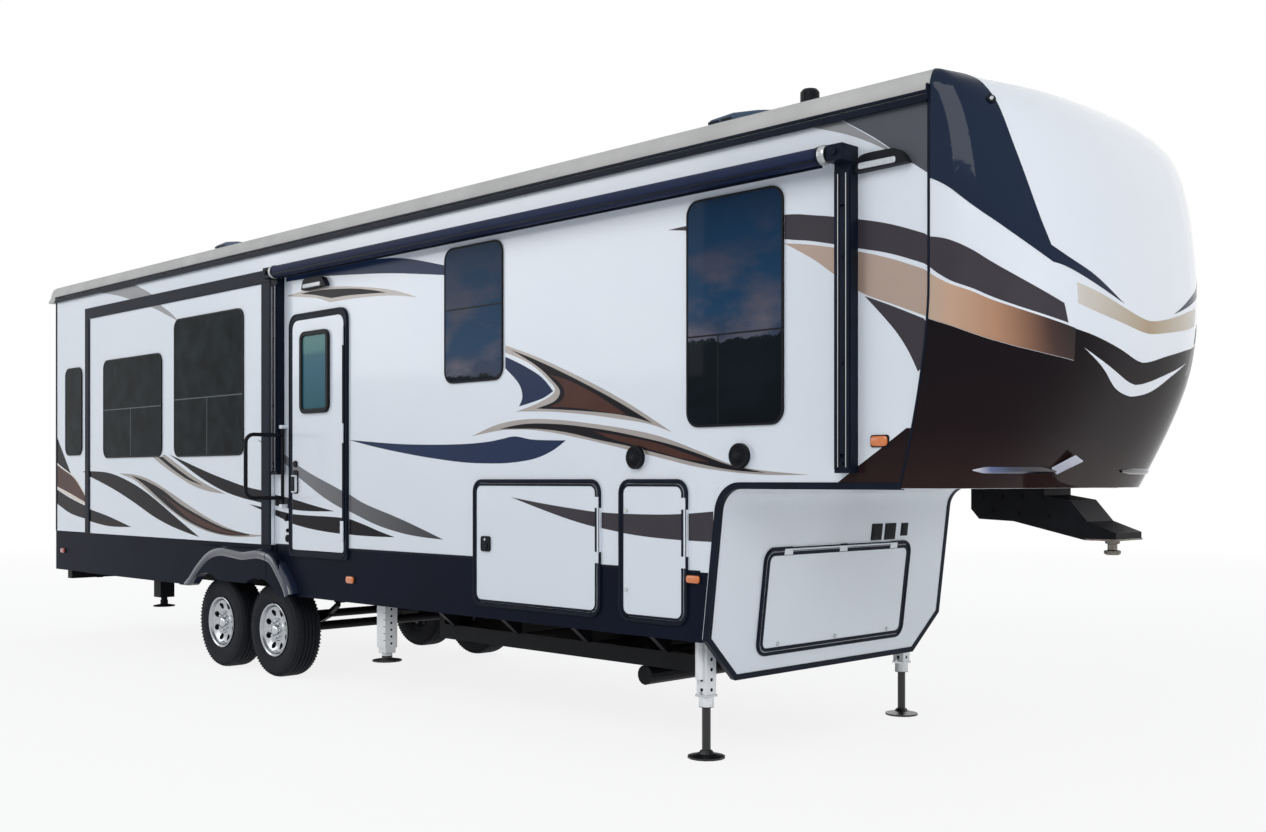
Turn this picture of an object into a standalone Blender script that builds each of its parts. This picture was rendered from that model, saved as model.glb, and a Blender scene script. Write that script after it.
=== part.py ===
"""Fifth wheel travel trailer, parked on its front legs, with two slide-out rooms.

Metres, +Z up. The trailer points along +X, the door side is -Y and the road side is +Y.
The ground is z = 0 and the body is centred on y = 0.
"""

import math

import bmesh
import bpy
from mathutils import Matrix, Vector

# Body
BODY_WIDTH = 2.438
HALF = BODY_WIDTH / 2
WALL = 0.050
SEAT = 0.0003
RUN = 0.006
REAR_X = -5.571
REAR_BULGE = 0.139
REAR_BOW = 0.048
SEAM_X = 5.120
SEAM_SWEEP = 0.170
SEAM_BEND_Z = 2.600
SKIRT_BOTTOM_Z = 0.706
SKIRT_TOP_Z = 1.112
SKIRT_THICK = 0.030
GUTTER_Z = 3.527

# Roof
SHOULDER_Z = 3.700
SHOULDER_IN = 0.069
CROWN_Z = 3.760
ROOF_THICK = 0.060
ROOF_REAR_OVERHANG = 0.010

# Floors
FLOOR_TOP_Z = 1.030
FLOOR_THICK = 0.075
STEP_X = 1.450
DECK_BOTTOM_Z = 1.600
DECK_TOP_Z = 1.690
DECK_SHELF_Z = 1.640

# Lower storage box front, a plane that leans back towards its foot
BOX_TOP_X = 3.760
BOX_TOP_Z = DECK_BOTTOM_Z
BOX_LEAN = math.radians(6.9)
BOX_KNEE_Z = 0.720
BOX_FOOT_Z = 0.468
BOX_FOOT_HALF = HALF - 0.280
BOX_WALL = 0.040
BOX_COVE = 0.150

# Front cap
CAP_THICK = 0.030
CAP_SIDE_POWER = 3.0
CAP_NOSE_POWER = 2.2
CAP_COLUMNS = 8

# Wheels and running gear
TYRE_RADIUS = 0.395
TYRE_WIDTH = 0.235
TYRE_OUTER_Y = HALF - 0.054
RIM_RADIUS = 0.203
RIM_LIP_RADIUS = 0.222
FRONT_AXLE_X = -1.236
AXLE_SPACING = 0.889
REAR_AXLE_X = FRONT_AXLE_X - AXLE_SPACING
AXLE_RADIUS = 0.038
SPRING_TOP_Z = 0.630
ARCH_RADIUS = 0.440
ARCH_DIP_Z = 0.780
LUG_COUNT = 8
WHEEL_SIDES = 28
WHEEL_BACK = 0.0355

# Slide-out rooms
SLIDE_X = (-4.737, -1.1115)
SLIDE_TOP_Z = 3.380
SLIDE_FLANGE = 0.030
SLIDE_STAND_OFF = 0.005
SLIDE_LAP = 0.060
SLIDE_CLEAR = 0.015
SLIDE_SHELL = 0.040
SLIDE_INNER_Y = 0.350
SLIDE_TRAVEL = 0.850
SLIDE_TRIM = 0.008
SLIDE_TRIM_REAR = 0.100
SLIDE_TRIM_FRONT = 0.140
SLIDE_TRIM_TOP = 0.110

# Chassis
RAIL_Y = HALF - 0.419
RAIL_WIDTH = 0.060
RAIL_BOTTOM_Z = 0.700
SILL_Y = HALF - 0.214
SILL_WIDTH = 0.050
SILL_BOTTOM_Z = 0.495
SILL_HEIGHT = 0.105
DROP_X = 0.880
TAIL_X = -5.510
CROSS_HALF = 0.030
CROSS_Z = (0.760, 0.900)
REAR_CROSS_X = (-5.400, -4.300, -2.950, -0.450, 0.600)
FRONT_CROSS_X = (1.750, 2.450, 3.150)
OUTRIGGER_X = (1.050, 1.750, 2.450, 3.150)
OUTRIGGER_TOP_Z = 0.790
BUMPER_X = (-5.605, -5.500)
BUMPER_HALF = HALF - 0.139
BUMPER_BOTTOM_Z = 0.600
CROSS_TUBE = (2.940, 0.430, 0.062)
CROSS_TUBE_HALF = HALF - 0.219
CROSS_TUBE_HANGER_Y = HALF - 0.519
HANGER_HALF = 0.045
HANGER_REACH = AXLE_SPACING / 2
JACK_BRACKET_Z = (0.740, 0.900)

# Leaf springs and hubs
SPRING_HALF = HANGER_REACH - 0.0245
SPRING_DROP = 0.185
SPRING_RISE = 0.150
SPRING_LEAF = 0.035
SPRING_WIDTH_HALF = 0.0225
DRUM_RADIUS = 0.150
SPINDLE_RADIUS = 0.070

# Jacks
FRONT_JACK_X = 3.478
FRONT_JACK_Y = HALF - 0.190
FRONT_JACK_TUBE = 0.082
JACK_TOP_Z = 0.940
JACK_SLEEVE_Z = 0.365
JACK_INNER_RADIUS = 0.030
JACK_SIDE_TUBE_Z = (0.470, 0.700)
MIDDLE_JACK_X = 0.215
MIDDLE_JACK_Y = HALF - 0.189
MIDDLE_JACK_TUBE = 0.110
REAR_JACK_X = -3.540
REAR_JACK_Y = HALF - 0.219
REAR_JACK_TUBE = 0.140
REAR_JACK_SLEEVE_Z = 0.520
# folded foot: (height, radius)
JACK_FOOT = ((0.0, 0.113), (0.010, 0.113), (0.022, 0.040), (0.060, 0.040))
MIDDLE_FOOT_Z = 0.262
REAR_FOOT_Z = 0.430

# Entry door and grab handle
DOOR_FRAME_X = (-0.863, -0.017)
DOOR_FRAME_Z = (1.030, 2.980)
DOOR_FRAME_WIDTH = 0.055
DOOR_THICK = 0.060
DOOR_PROUD = 0.016
DOOR_CORNER = 0.100
DOOR_HINGE_LIFT = 0.012
DOOR_WINDOW = (
    DOOR_FRAME_X[0] + 0.201, DOOR_FRAME_X[1] - 0.251, DOOR_FRAME_Z[1] - 0.795, DOOR_FRAME_Z[1] - 0.165,
)
DOOR_WINDOW_CORNER = 0.060
DOOR_WINDOW_LAP = 0.020
DOOR_HINGE_INSET_Z = 0.150
DOOR_LATCH = (-0.785, -0.725, 1.545, 1.685)
DOOR_LATCH_PROUD = 0.028
HANDLE_X = -0.930
HANDLE_Z = (1.450, 2.060)
HANDLE_REACH = 0.330
HANDLE_TUBE = 0.016
HANDLE_SHAFT = 0.014
HANDLE_BEND = 0.070
HANDLE_STAND_OFF = 0.035
HANDLE_BOSS_PROUD = 0.055

# Roller awning
AWNING_X = (-0.960, 4.594)
AWNING_Y = HALF + 0.111
AWNING_Z = 3.330
AWNING_RADIUS = 0.046
AWNING_CAP_STEP = 0.004
AWNING_CAP_LENGTH = 0.060
AWNING_ARM_PROUD = 0.065
AWNING_ARM_TOP_Z = 3.370

# Pin box
PIN_HALF = 0.155
KINGPIN_X = 5.497
KINGPIN_TIP_Z = 1.240
PIN_PLATE = ((5.409, 1.322), (5.589, 1.322))
# side outline above the plate, (x, z), from its front edge up and back to the overhang
PIN_BOX_TOP = ((5.589, 1.363), (5.430, 1.420), (5.330, 1.535), (5.180, 1.560))
PIN_BOX_HEEL = ((4.728, 1.479), (4.779, 1.423), (4.995, 1.414))
PIN_BOX_ROOT_X = (4.728, 5.180)
# (height above the tip, radius)
KINGPIN_STEPS = (
    (0.0, 0.034), (0.008, 0.044), (0.022, 0.044), (0.026, 0.0255), (0.058, 0.0255), (0.062, 0.038),
)
KINGPIN_ROOT = 0.008

# Roof units
AC_START_X = {"air_conditioner_rear": -3.810, "air_conditioner_front": 2.850}
AC_LENGTH = 0.980
AC_HALF = 0.350
AC_HEIGHT = 0.275
AC_SHOULDER = 0.150
AC_SLOT_Z = (0.050, 0.085, 0.120)
AC_SLOT = 0.014
VENT_PLACE = (3.840, -0.500)
VENT_STEM = 0.145
VENT_HEAD = 0.070
VENT_DOME = 0.017
VENT_RADII = {"flange": 0.045, "stem": 0.020, "head": 0.058}

# Rear ladder
LADDER_Y = (HALF - 0.699, HALF - 0.339)
LADDER_Z = (1.160, 3.560)
LADDER_OFF_WALL = 0.055
LADDER_RAIL = 0.0125
LADDER_RUNG = 0.0110
LADDER_FIRST_RUNG_Z = 1.220
LADDER_PITCH = 0.300
LADDER_RUNGS = 8
LADDER_FEET_Z = (1.300, 2.300, 3.300)

# Hinges: barrel radius, how far the pin stands off the door's face and edge
HINGE_PIN = 0.006
HINGE_LIFT = 0.003
HINGE_SET = 0.012

DOOR_SIDE = -1
ROAD_SIDE = 1


for leftover in list(bpy.data.objects):
    bpy.data.objects.remove(leftover, do_unlink=True)


def hex_colour(code):
    """Turn a hex colour into linear RGBA."""
    channels = [int(code[i:i + 2], 16) / 255 for i in (0, 2, 4)]
    linear = [c / 12.92 if c <= 0.04045 else ((c + 0.055) / 1.055) ** 2.4 for c in channels]
    return (*linear, 1.0)


def make_material(name, code, roughness, metallic=0.0):
    material = bpy.data.materials.new(name)
    material.use_nodes = True
    shader = material.node_tree.nodes["Principled BSDF"]
    shader.inputs["Base Color"].default_value = hex_colour(code)
    shader.inputs["Roughness"].default_value = roughness
    shader.inputs["Metallic"].default_value = metallic
    material.diffuse_color = hex_colour(code)
    return material


MATERIALS = {
    name: make_material(name, *finish)
    for name, finish in {
        # name: hex colour, roughness, metallic
        "gelcoat_white": ("E9EEF3", 0.25),
        "skirt_navy": ("1B2233", 0.35),
        "roof_grey": ("C9CDCF", 0.55),
        "trim_black": ("15181D", 0.45),
        "glass_tint": ("10151C", 0.05),
        "frame_black": ("17181A", 0.50, 0.3),
        "rubber": ("17181A", 0.85),
        "alloy": ("C8CBCE", 0.30, 0.9),
        "jack_white": ("E4E6E6", 0.40, 0.3),
        "awning_navy": ("1A2336", 0.50),
        "floor_board": ("4B4740", 0.80),
    }.items()
}


def on_side(side):
    """Outline (x, z) on a body side, with depth measured inwards from the wall's outer face."""
    return lambda u, v, w: Vector((u, side * (HALF - w), v))


def across(u, v, w):
    """Outline (x, z), with depth along Y."""
    return Vector((u, w, v))


def upright(u, v, w):
    """Outline (x, y), with depth along Z."""
    return Vector((u, v, w))


def lengthwise(u, v, w):
    """Outline (y, z), with depth along X."""
    return Vector((w, u, v))


def on_box_front(u, v, w):
    """Outline (y, distance down the leaning front), with depth outwards from its face."""
    down = Vector((-math.sin(BOX_LEAN), 0, -math.cos(BOX_LEAN)))
    out = Vector((math.cos(BOX_LEAN), 0, -math.sin(BOX_LEAN)))
    return Vector((BOX_TOP_X, u, BOX_TOP_Z)) + down * v + out * w


def prism(outline, place, near, far, holes=()):
    """Extrude an outline with holes from depth near to depth far."""
    bm = bmesh.new()
    for points in (outline, *holes):
        verts = [bm.verts.new(place(u, v, near)) for u, v in points]
        for first, second in zip(verts, verts[1:] + verts[:1]):
            bm.edges.new((first, second))
    bmesh.ops.triangle_fill(bm, edges=bm.edges[:], use_beauty=True)
    moved = bmesh.ops.extrude_face_region(bm, geom=bm.faces[:])["geom"]
    shift = place(0, 0, far) - place(0, 0, near)
    bmesh.ops.translate(bm, vec=shift, verts=[v for v in moved if isinstance(v, bmesh.types.BMVert)])
    bmesh.ops.recalc_face_normals(bm, faces=bm.faces[:])
    return bm


def box(x0, x1, y0, y1, z0, z1):
    return prism([(x0, y0), (x1, y0), (x1, y1), (x0, y1)], upright, z0, z1)


def rod(start, end, radius, sides=20):
    """A round bar between two points."""
    start, end = Vector(start), Vector(end)
    bm = bmesh.new()
    turn = (end - start).to_track_quat("Z", "Y").to_matrix().to_4x4()
    middle = Matrix.Translation((start + end) / 2)
    bmesh.ops.create_cone(
        bm, cap_ends=True, segments=sides, radius1=radius, radius2=radius,
        depth=(end - start).length, matrix=middle @ turn,
    )
    return bm


def bent_tube(route, radius, sides=10):
    """A round tube swept through a list of points, with flat ends."""
    route = [Vector(p) for p in route]
    bm = bmesh.new()
    rings = []
    for i, point in enumerate(route):
        before = route[max(i - 1, 0)]
        after = route[min(i + 1, len(route) - 1)]
        along = (after - before).normalized()
        helper = Vector((0.3, 0.2, 1.0)).normalized()
        if abs(along.dot(helper)) > 0.9:
            helper = Vector((1.0, 0.2, 0.1)).normalized()
        side_a = along.cross(helper).normalized()
        side_b = along.cross(side_a)
        ring = []
        for k in range(sides):
            angle = 2 * math.pi * k / sides
            ring.append(bm.verts.new(point + (side_a * math.cos(angle) + side_b * math.sin(angle)) * radius))
        rings.append(ring)
    for ring, following in zip(rings, rings[1:]):
        for k in range(sides):
            bm.faces.new((ring[k], ring[(k + 1) % sides], following[(k + 1) % sides], following[k]))
    bm.faces.new(rings[0])
    bm.faces.new(rings[-1])
    bmesh.ops.recalc_face_normals(bm, faces=bm.faces[:])
    return bm


def turned(profile, centre, axis="Y", sides=40):
    """Revolve a closed profile of (distance along the axis, radius) round an axis through centre."""
    bm = bmesh.new()
    verts = [bm.verts.new((radius, 0, along)) for along, radius in profile]
    edges = [bm.edges.new(pair) for pair in zip(verts, verts[1:] + verts[:1])]
    bmesh.ops.spin(
        bm, geom=verts + edges, cent=(0, 0, 0), axis=(0, 0, 1), angle=math.tau,
        steps=sides, use_merge=True, use_duplicate=False,
    )
    bmesh.ops.remove_doubles(bm, verts=bm.verts[:], dist=1e-6)
    bmesh.ops.recalc_face_normals(bm, faces=bm.faces[:])
    turn = {"X": Matrix.Rotation(math.pi / 2, 4, "Y"), "Y": Matrix.Rotation(-math.pi / 2, 4, "X")}
    matrix = Matrix.Translation(Vector(centre)) @ turn.get(axis, Matrix.Identity(4))
    bmesh.ops.transform(bm, matrix=matrix, verts=bm.verts[:])
    return bm


def disc_stack(steps, centre, axis="Z", sides=24):
    """Revolve a solid given as (height along the axis, radius) steps that ends on the axis."""
    bm = bmesh.new()
    rings = []
    for along, radius in steps:
        angles = [math.tau * k / sides for k in range(sides)]
        rings.append([bm.verts.new((radius * math.cos(a), radius * math.sin(a), along)) for a in angles])
    for ring, following in zip(rings, rings[1:]):
        for k in range(sides):
            bm.faces.new((ring[k], ring[(k + 1) % sides], following[(k + 1) % sides], following[k]))
    bm.faces.new(rings[0])
    bm.faces.new(rings[-1])
    bmesh.ops.recalc_face_normals(bm, faces=bm.faces[:])
    turn = {"X": Matrix.Rotation(math.pi / 2, 4, "Y"), "Y": Matrix.Rotation(-math.pi / 2, 4, "X")}
    matrix = Matrix.Translation(Vector(centre)) @ turn.get(axis, Matrix.Identity(4))
    bmesh.ops.transform(bm, matrix=matrix, verts=bm.verts[:])
    return bm


def filleted(corners, steps=5):
    """Round the corners of a polygon given as (u, v, radius) rows."""
    points = []
    for i, (u, v, radius) in enumerate(corners):
        here = Vector((u, v))
        if radius == 0:
            points.append((u, v))
            continue
        back = (Vector(corners[i - 1][:2]) - here).normalized()
        ahead = (Vector(corners[(i + 1) % len(corners)][:2]) - here).normalized()
        half = back.angle(ahead) / 2
        centre = here + (back + ahead).normalized() * radius / math.sin(half)
        start = here + back * radius / math.tan(half) - centre
        end = here + ahead * radius / math.tan(half) - centre
        sweep = start.angle_signed(end)
        for k in range(steps + 1):
            spoke = start.copy()
            spoke.rotate(Matrix.Rotation(-sweep * k / steps, 2))
            points.append((centre.x + spoke.x, centre.y + spoke.y))
    return points


def rounded_rectangle(u0, u1, v0, v1, radius, steps=5):
    return filleted([(u0, v0, radius), (u1, v0, radius), (u1, v1, radius), (u0, v1, radius)], steps)


def hinge_barrels(start, end, shares):
    """Coaxial barrels between two points: returns the fixed ones and the moving ones, by turns."""
    start, end = Vector(start), Vector(end)
    along = end - start
    gap = along.normalized() * SEAT / 2
    fixed, moving = [], []
    total = sum(shares)
    done = 0
    for number, share in enumerate(shares):
        a = start + along * done / total + gap
        done += share
        b = start + along * done / total - gap
        (moving if number % 2 == 0 else fixed).append((a, b))
    return fixed, moving


def side_hinge(side, x, z0, z1, proud, shares, lift=HINGE_LIFT, root=-0.004):
    """Hinge on a side wall: barrels and leaves for the wall, and for the door behind x."""
    y = side * (HALF + proud + lift)
    fixed, moving = hinge_barrels((x, y, z0), (x, y, z1), shares)
    carried, swung = [], []
    for a, b in fixed:
        carried.append(rod(a, b, HINGE_PIN, 10))
        y0, y1 = sorted((y, side * (HALF + root)))
        carried.append(box(x + 0.002, x + 0.018, y0, y1, a.z, b.z))
    for a, b in moving:
        swung.append(rod(a, b, HINGE_PIN, 10))
        y0, y1 = sorted((y + side * 0.002, side * (HALF + proud - 0.003)))
        swung.append(box(x - HINGE_SET - 0.024, x - HINGE_SET - 0.001, y0, y1, a.z, b.z))
        swung.append(box(x - HINGE_SET - 0.020, x, y - 0.002, y + 0.002, a.z, b.z))
    return carried, swung


guides = bpy.data.collections.new("guides")
bpy.context.scene.collection.children.link(guides)


def mesh_object(name, bm, material, origin=(0, 0, 0)):
    """Store a bmesh, given in world coordinates, as an object whose origin is at origin."""
    bmesh.ops.translate(bm, vec=-Vector(origin), verts=bm.verts[:])
    mesh = bpy.data.meshes.new(name)
    bm.to_mesh(mesh)
    bm.free()
    mesh.materials.append(MATERIALS[material])
    mesh.shade_smooth()
    mesh.set_sharp_from_angle(angle=math.radians(35))
    item = bpy.data.objects.new(name, mesh)
    item.location = origin
    return item


def solid(name, material, base, add=(), cut=(), keep=None, origin=(0, 0, 0)):
    """Make one named piece: base plus the add shapes, less the cut shapes, within keep."""
    item = mesh_object(name, base, material, origin)
    bpy.context.scene.collection.objects.link(item)
    steps = [("UNION", shape) for shape in add] + [("DIFFERENCE", shape) for shape in cut]
    if keep is not None:
        steps.append(("INTERSECT", keep))
    for number, (operation, shape) in enumerate(steps):
        guide = mesh_object(f"{name}.guide{number}", shape, material)
        guides.objects.link(guide)
        guide.hide_render = True
        guide.display_type = "WIRE"
        boolean = item.modifiers.new(f"{operation.lower()} {number}", "BOOLEAN")
        boolean.operation = operation
        boolean.solver = "EXACT"
        boolean.object = guide
    return item


# Centre line of the front cap, from the roof over the nose to the overhang
# (x ahead of the seam, z)
CAP_PROFILE = (
    (0.000, 3.760), (0.080, 3.748), (0.190, 3.710), (0.300, 3.656), (0.400, 3.566), (0.470, 3.450),
    (0.525, 3.280), (0.565, 3.060), (0.588, 2.800), (0.584, 2.500), (0.535, 2.240),
    (0.435, 2.010), (0.315, 1.800), (0.185, 1.600),
)


def seam_x(z):
    """Where the side wall ends and the front cap begins, at a height."""
    low = min(max((SEAM_BEND_Z - z) / (SEAM_BEND_Z - DECK_BOTTOM_Z), 0), 1)
    return SEAM_X - SEAM_SWEEP * low ** 1.6


def cap_fade(z):
    """How much of the roof's fall towards the sides the cap still has at a height."""
    return (z - DECK_BOTTOM_Z) / (CROWN_Z - DECK_BOTTOM_Z)


def side_edge_points():
    """Front edge of a side wall, from the overhang up to the gutter, as (x, z)."""
    heights = [z - (CROWN_Z - GUTTER_Z) * cap_fade(z) for ahead, z in CAP_PROFILE]
    return [(seam_x(z) - SEAT, z) for z in heights[::-1]]


def roof_z(y):
    """Height of the roof's outer face."""
    out = abs(y) - (HALF - SHOULDER_IN)
    if out <= 0:
        return CROWN_Z - (CROWN_Z - SHOULDER_Z) * (y / (HALF - SHOULDER_IN)) ** 2
    return GUTTER_Z + (SHOULDER_Z - GUTTER_Z) * math.sqrt(max(1 - (out / SHOULDER_IN) ** 2, 0))


def roof_outline(inset=0.0):
    """The roof's outer face as (y, z) points from one gutter to the other."""
    fine = [HALF - SHOULDER_IN * f for f in (0.0, 0.05, 0.2, 0.5, 1.0)]
    coarse = [(HALF - SHOULDER_IN) * f for f in (0.75, 0.5, 0.25)]
    ys = [*fine, *coarse, 0.0]
    ys = [-y for y in ys] + ys[-2::-1]
    scale = (HALF - inset) / HALF
    return [(y * scale, roof_z(y) - inset) for y in ys]


def box_front_x(z):
    return BOX_TOP_X - (BOX_TOP_Z - z) * math.tan(BOX_LEAN)


# Windows set in the fixed walls and in the slide-out rooms
# name: (x0, x1, z0, z1)
DOOR_SIDE_WINDOWS = {
    "window_rear_door_side": (-5.305, -4.902, 1.903, 2.804),
    "window_middle_door_side": (1.198, 1.830, 2.320, 3.260),
    "window_front_door_side": (3.504, 4.211, 1.950, 3.254),
}
ROAD_SIDE_WINDOWS = {"window_front_road_side": (3.504, 4.211, 1.950, 3.254)}
SLIDE_WINDOWS = {
    "slide_window_rear": (-4.300, -3.054, 1.865, 2.825),
    "slide_window_front": (-2.798, -1.554, 1.858, 3.105),
}
WINDOW_CORNER = 0.085
WINDOW_LAP = 0.022
PANE = 0.010

# Baggage doors
# name: (side, x0, x1, z0, z1)
BAGGAGE_DOORS = {
    "baggage_door_large_door_side": (DOOR_SIDE, 1.546, 2.750, 0.818, 1.622),
    "baggage_door_small_door_side": (DOOR_SIDE, 2.968, 3.480, 0.818, 1.622),
    "baggage_door_large_road_side": (ROAD_SIDE, 1.546, 2.750, 0.818, 1.622),
}
# x0, x1, z0, z1
PORCH_LAMPS = ((4.716, 4.987, 3.235, 3.310), (-0.620, -0.320, 3.165, 3.240))
SPEAKERS_X = (3.092, 3.910)
SPEAKER_Z = 1.780
# (distance inwards from the wall's face, radius)
SPEAKER_STEPS = ((0.010, 0.070), (-0.018, 0.068), (-0.026, 0.056), (-0.022, 0.042))
PORCH_LAMP_PROUD = 0.045
# how deep an added boss or lamp is rooted in its wall
ROOT = 0.010
BAGGAGE_CORNER = 0.060
BAGGAGE_THICK = 0.045
BAGGAGE_PROUD = 0.012
BAGGAGE_HINGE_Z = (1.130, 1.540)


def window_hole(sizes):
    x0, x1, z0, z1 = sizes
    return rounded_rectangle(
        x0 + WINDOW_LAP, x1 - WINDOW_LAP, z0 + WINDOW_LAP, z1 - WINDOW_LAP, WINDOW_CORNER - WINDOW_LAP,
    )


def door_opening(clearance=0.0):
    """Entry door outline inside its frame, grown by a clearance."""
    x0, x1 = (DOOR_FRAME_X[0] + DOOR_FRAME_WIDTH, DOOR_FRAME_X[1] - DOOR_FRAME_WIDTH)
    z0, z1 = (DOOR_FRAME_Z[0] + DOOR_FRAME_WIDTH, DOOR_FRAME_Z[1] - DOOR_FRAME_WIDTH)
    c = clearance
    foot = 0.02 + c
    head = DOOR_CORNER - DOOR_FRAME_WIDTH / 2 + c
    return filleted([
        (x0 - c, z0 - c, foot),
        (x1 + c, z0 - c, foot),
        (x1 + c, z1 + c, head),
        (x0 - c, z1 + c, head),
    ])


def baggage_outline(sizes, clearance=0.0):
    x0, x1, z0, z1 = sizes
    c = clearance
    return rounded_rectangle(x0 - c, x1 + c, z0 - c, z1 + c, BAGGAGE_CORNER + c)


def baggage_hinge(side, x1):
    return side_hinge(side, x1 + HINGE_SET, *BAGGAGE_HINGE_Z, BAGGAGE_PROUD, (1, 4, 1))


def side_cutters(side):
    """Baggage and entry door openings, which cross the line between wall and skirt."""
    cutters = []
    for owner, *sizes in BAGGAGE_DOORS.values():
        if owner == side:
            cutters.append(prism(baggage_outline(sizes, RUN), on_side(side), -0.02, WALL + 0.02))
    if side == DOOR_SIDE:
        cutters.append(prism(door_opening(RUN), on_side(side), -0.02, WALL + 0.02))
    return cutters


def wall_lamps():
    """Porch lamps and the two outside speakers, which the door-side wall carries."""
    shapes = []
    for x0, x1, z0, z1 in PORCH_LAMPS:
        outline = filleted([
            (x0, z0, 0.02),
            (x1, z0 + 0.01, 0.02),
            (x1 - 0.03, z1, 0.03),
            (x0 + 0.03, z1, 0.03),
        ], 3)
        shapes.append(prism(outline, on_side(DOOR_SIDE), -PORCH_LAMP_PROUD, ROOT))
    for x in SPEAKERS_X:
        shapes.append(disc_stack(SPEAKER_STEPS, (x, -HALF, SPEAKER_Z), "Y", 14))
    return shapes


def make_walls():
    """Side walls above the skirt, open over the slide-out room down to the floor."""
    for side, name, windows in (
        (DOOR_SIDE, "wall_door_side", DOOR_SIDE_WINDOWS),
        (ROAD_SIDE, "wall_road_side", ROAD_SIDE_WINDOWS),
    ):
        low = SKIRT_TOP_Z + SEAT
        outline = [
            (REAR_X + SEAT, low),
            (SLIDE_X[0] + SLIDE_LAP, low),
            (SLIDE_X[0] + SLIDE_LAP, SLIDE_TOP_Z - SLIDE_LAP),
            (SLIDE_X[1] - SLIDE_LAP, SLIDE_TOP_Z - SLIDE_LAP),
            (SLIDE_X[1] - SLIDE_LAP, low),
            (box_front_x(low) - BOX_WALL, low),
            (box_front_x(BOX_TOP_Z) - BOX_WALL, BOX_TOP_Z),
            *side_edge_points(),
            (REAR_X + SEAT, GUTTER_Z),
        ]
        base = prism(outline, on_side(side), 0, WALL, [window_hole(sizes) for sizes in windows.values()])
        add = []
        if side == DOOR_SIDE:
            for z in (HANDLE_Z[0] - 0.032, HANDLE_Z[1] + 0.002):
                boss = rounded_rectangle(HANDLE_X - 0.022, HANDLE_X + 0.022, z, z + 0.030, 0.008, 2)
                add.append(prism(boss, on_side(side), -HANDLE_BOSS_PROUD, ROOT))
            add.extend(wall_lamps())
        for owner, x0, x1, z0, z1 in BAGGAGE_DOORS.values():
            if owner == side:
                add.extend(baggage_hinge(side, x1)[0])
        solid(name, "gelcoat_white", base, add=add, cut=side_cutters(side))


def arch_points(radius, dip):
    """Two wheel arches with a dip between them, from rear to front, as (x, z)."""
    points = []
    low = math.asin((SKIRT_BOTTOM_Z - TYRE_RADIUS) / radius)
    inner = math.asin((dip - TYRE_RADIUS) / radius)
    for centre, start, end in (
        (REAR_AXLE_X, math.pi - low, inner),
        (FRONT_AXLE_X, math.pi - inner, low),
    ):
        for k in range(9):
            angle = start + (end - start) * k / 8
            points.append((centre + radius * math.cos(angle), TYRE_RADIUS + radius * math.sin(angle)))
    return points


FLARE_OUT = 0.085
FLARE_TOP_Z = 1.070
FLARE_FOOT_X = (-2.620, -0.760)
FLARE_TOP_X = (-2.360, -1.000)


def flare_outline():
    outer = filleted([
        (FLARE_FOOT_X[1], SKIRT_BOTTOM_Z, 0),
        (FLARE_TOP_X[1], FLARE_TOP_Z, 0.25),
        (FLARE_TOP_X[0], FLARE_TOP_Z, 0.25),
        (FLARE_FOOT_X[0], SKIRT_BOTTOM_Z, 0),
    ], 6)
    return outer + arch_points(ARCH_RADIUS, ARCH_DIP_Z)


def make_skirts():
    """Dark lower panels: a U round the rear, one ahead of each slide, one hung on each slide."""
    split = SLIDE_X[1] + RUN
    for side, tag in ((DOOR_SIDE, "door_side"), (ROAD_SIDE, "road_side")):
        place = on_side(side)
        front_top = box_front_x(SKIRT_TOP_Z) - BOX_WALL
        front_low = box_front_x(SKIRT_BOTTOM_Z) - BOX_WALL
        outline = [
            (split, SKIRT_TOP_Z),
            (split, SKIRT_BOTTOM_Z),
            (front_low, SKIRT_BOTTOM_Z),
            (front_top, SKIRT_TOP_Z),
        ]
        base = prism(outline, place, 0, SKIRT_THICK)
        ahead = prism([(split, 0.5), (0, 0.5), (0, 1.2), (split, 1.2)], place, -0.2, 0.2)
        flare_end = prism(flare_outline(), place, -FLARE_OUT, 0.01)
        trimmed = solid(f"flare_end_{tag}", "skirt_navy", flare_end, keep=ahead)
        trimmed.hide_render = True
        trimmed.display_type = "WIRE"
        wheel_gap = prism(
            [*arch_points(ARCH_RADIUS, ARCH_DIP_Z), (FRONT_AXLE_X + 0.4, 0.3), (REAR_AXLE_X - 0.4, 0.3)],
            place, -0.2, 0.2,
        )
        skirt = solid(f"skirt_front_{tag}", "skirt_navy", base, cut=[*side_cutters(side), wheel_gap])
        union = skirt.modifiers.new("flare end", "BOOLEAN")
        union.operation = "UNION"
        union.solver = "EXACT"
        union.object = trimmed


def rear_curve(inset):
    """Plan of the rear wall as (x, y) from the door side to the road side."""
    points = []
    for k in range(-8, 9):
        y = (HALF - inset) * math.sin(k / 8 * math.pi / 2)
        corner = 1 - (abs(y) / (HALF - inset)) ** 6
        bow = 1 - (y / HALF) ** 2
        points.append((REAR_X + inset * 0.6 - (REAR_BULGE - REAR_BOW) * corner - REAR_BOW * bow, y))
    return points


def rear_face_x(y):
    """Where the rear wall's outer face lies at a distance from the centre."""
    curve = rear_curve(0.0)
    for (x0, y0), (x1, y1) in zip(curve, curve[1:]):
        if y0 <= y <= y1:
            return x0 + (x1 - x0) * (y - y0) / (y1 - y0)
    return REAR_X


def rear_plan():
    outer = rear_curve(0.0)
    inner = [(x + 0.03, y) for x, y in rear_curve(WALL)]
    inner[0] = (REAR_X, -(HALF - WALL))
    inner[-1] = (REAR_X, HALF - WALL)
    return outer + inner[::-1]


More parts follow.
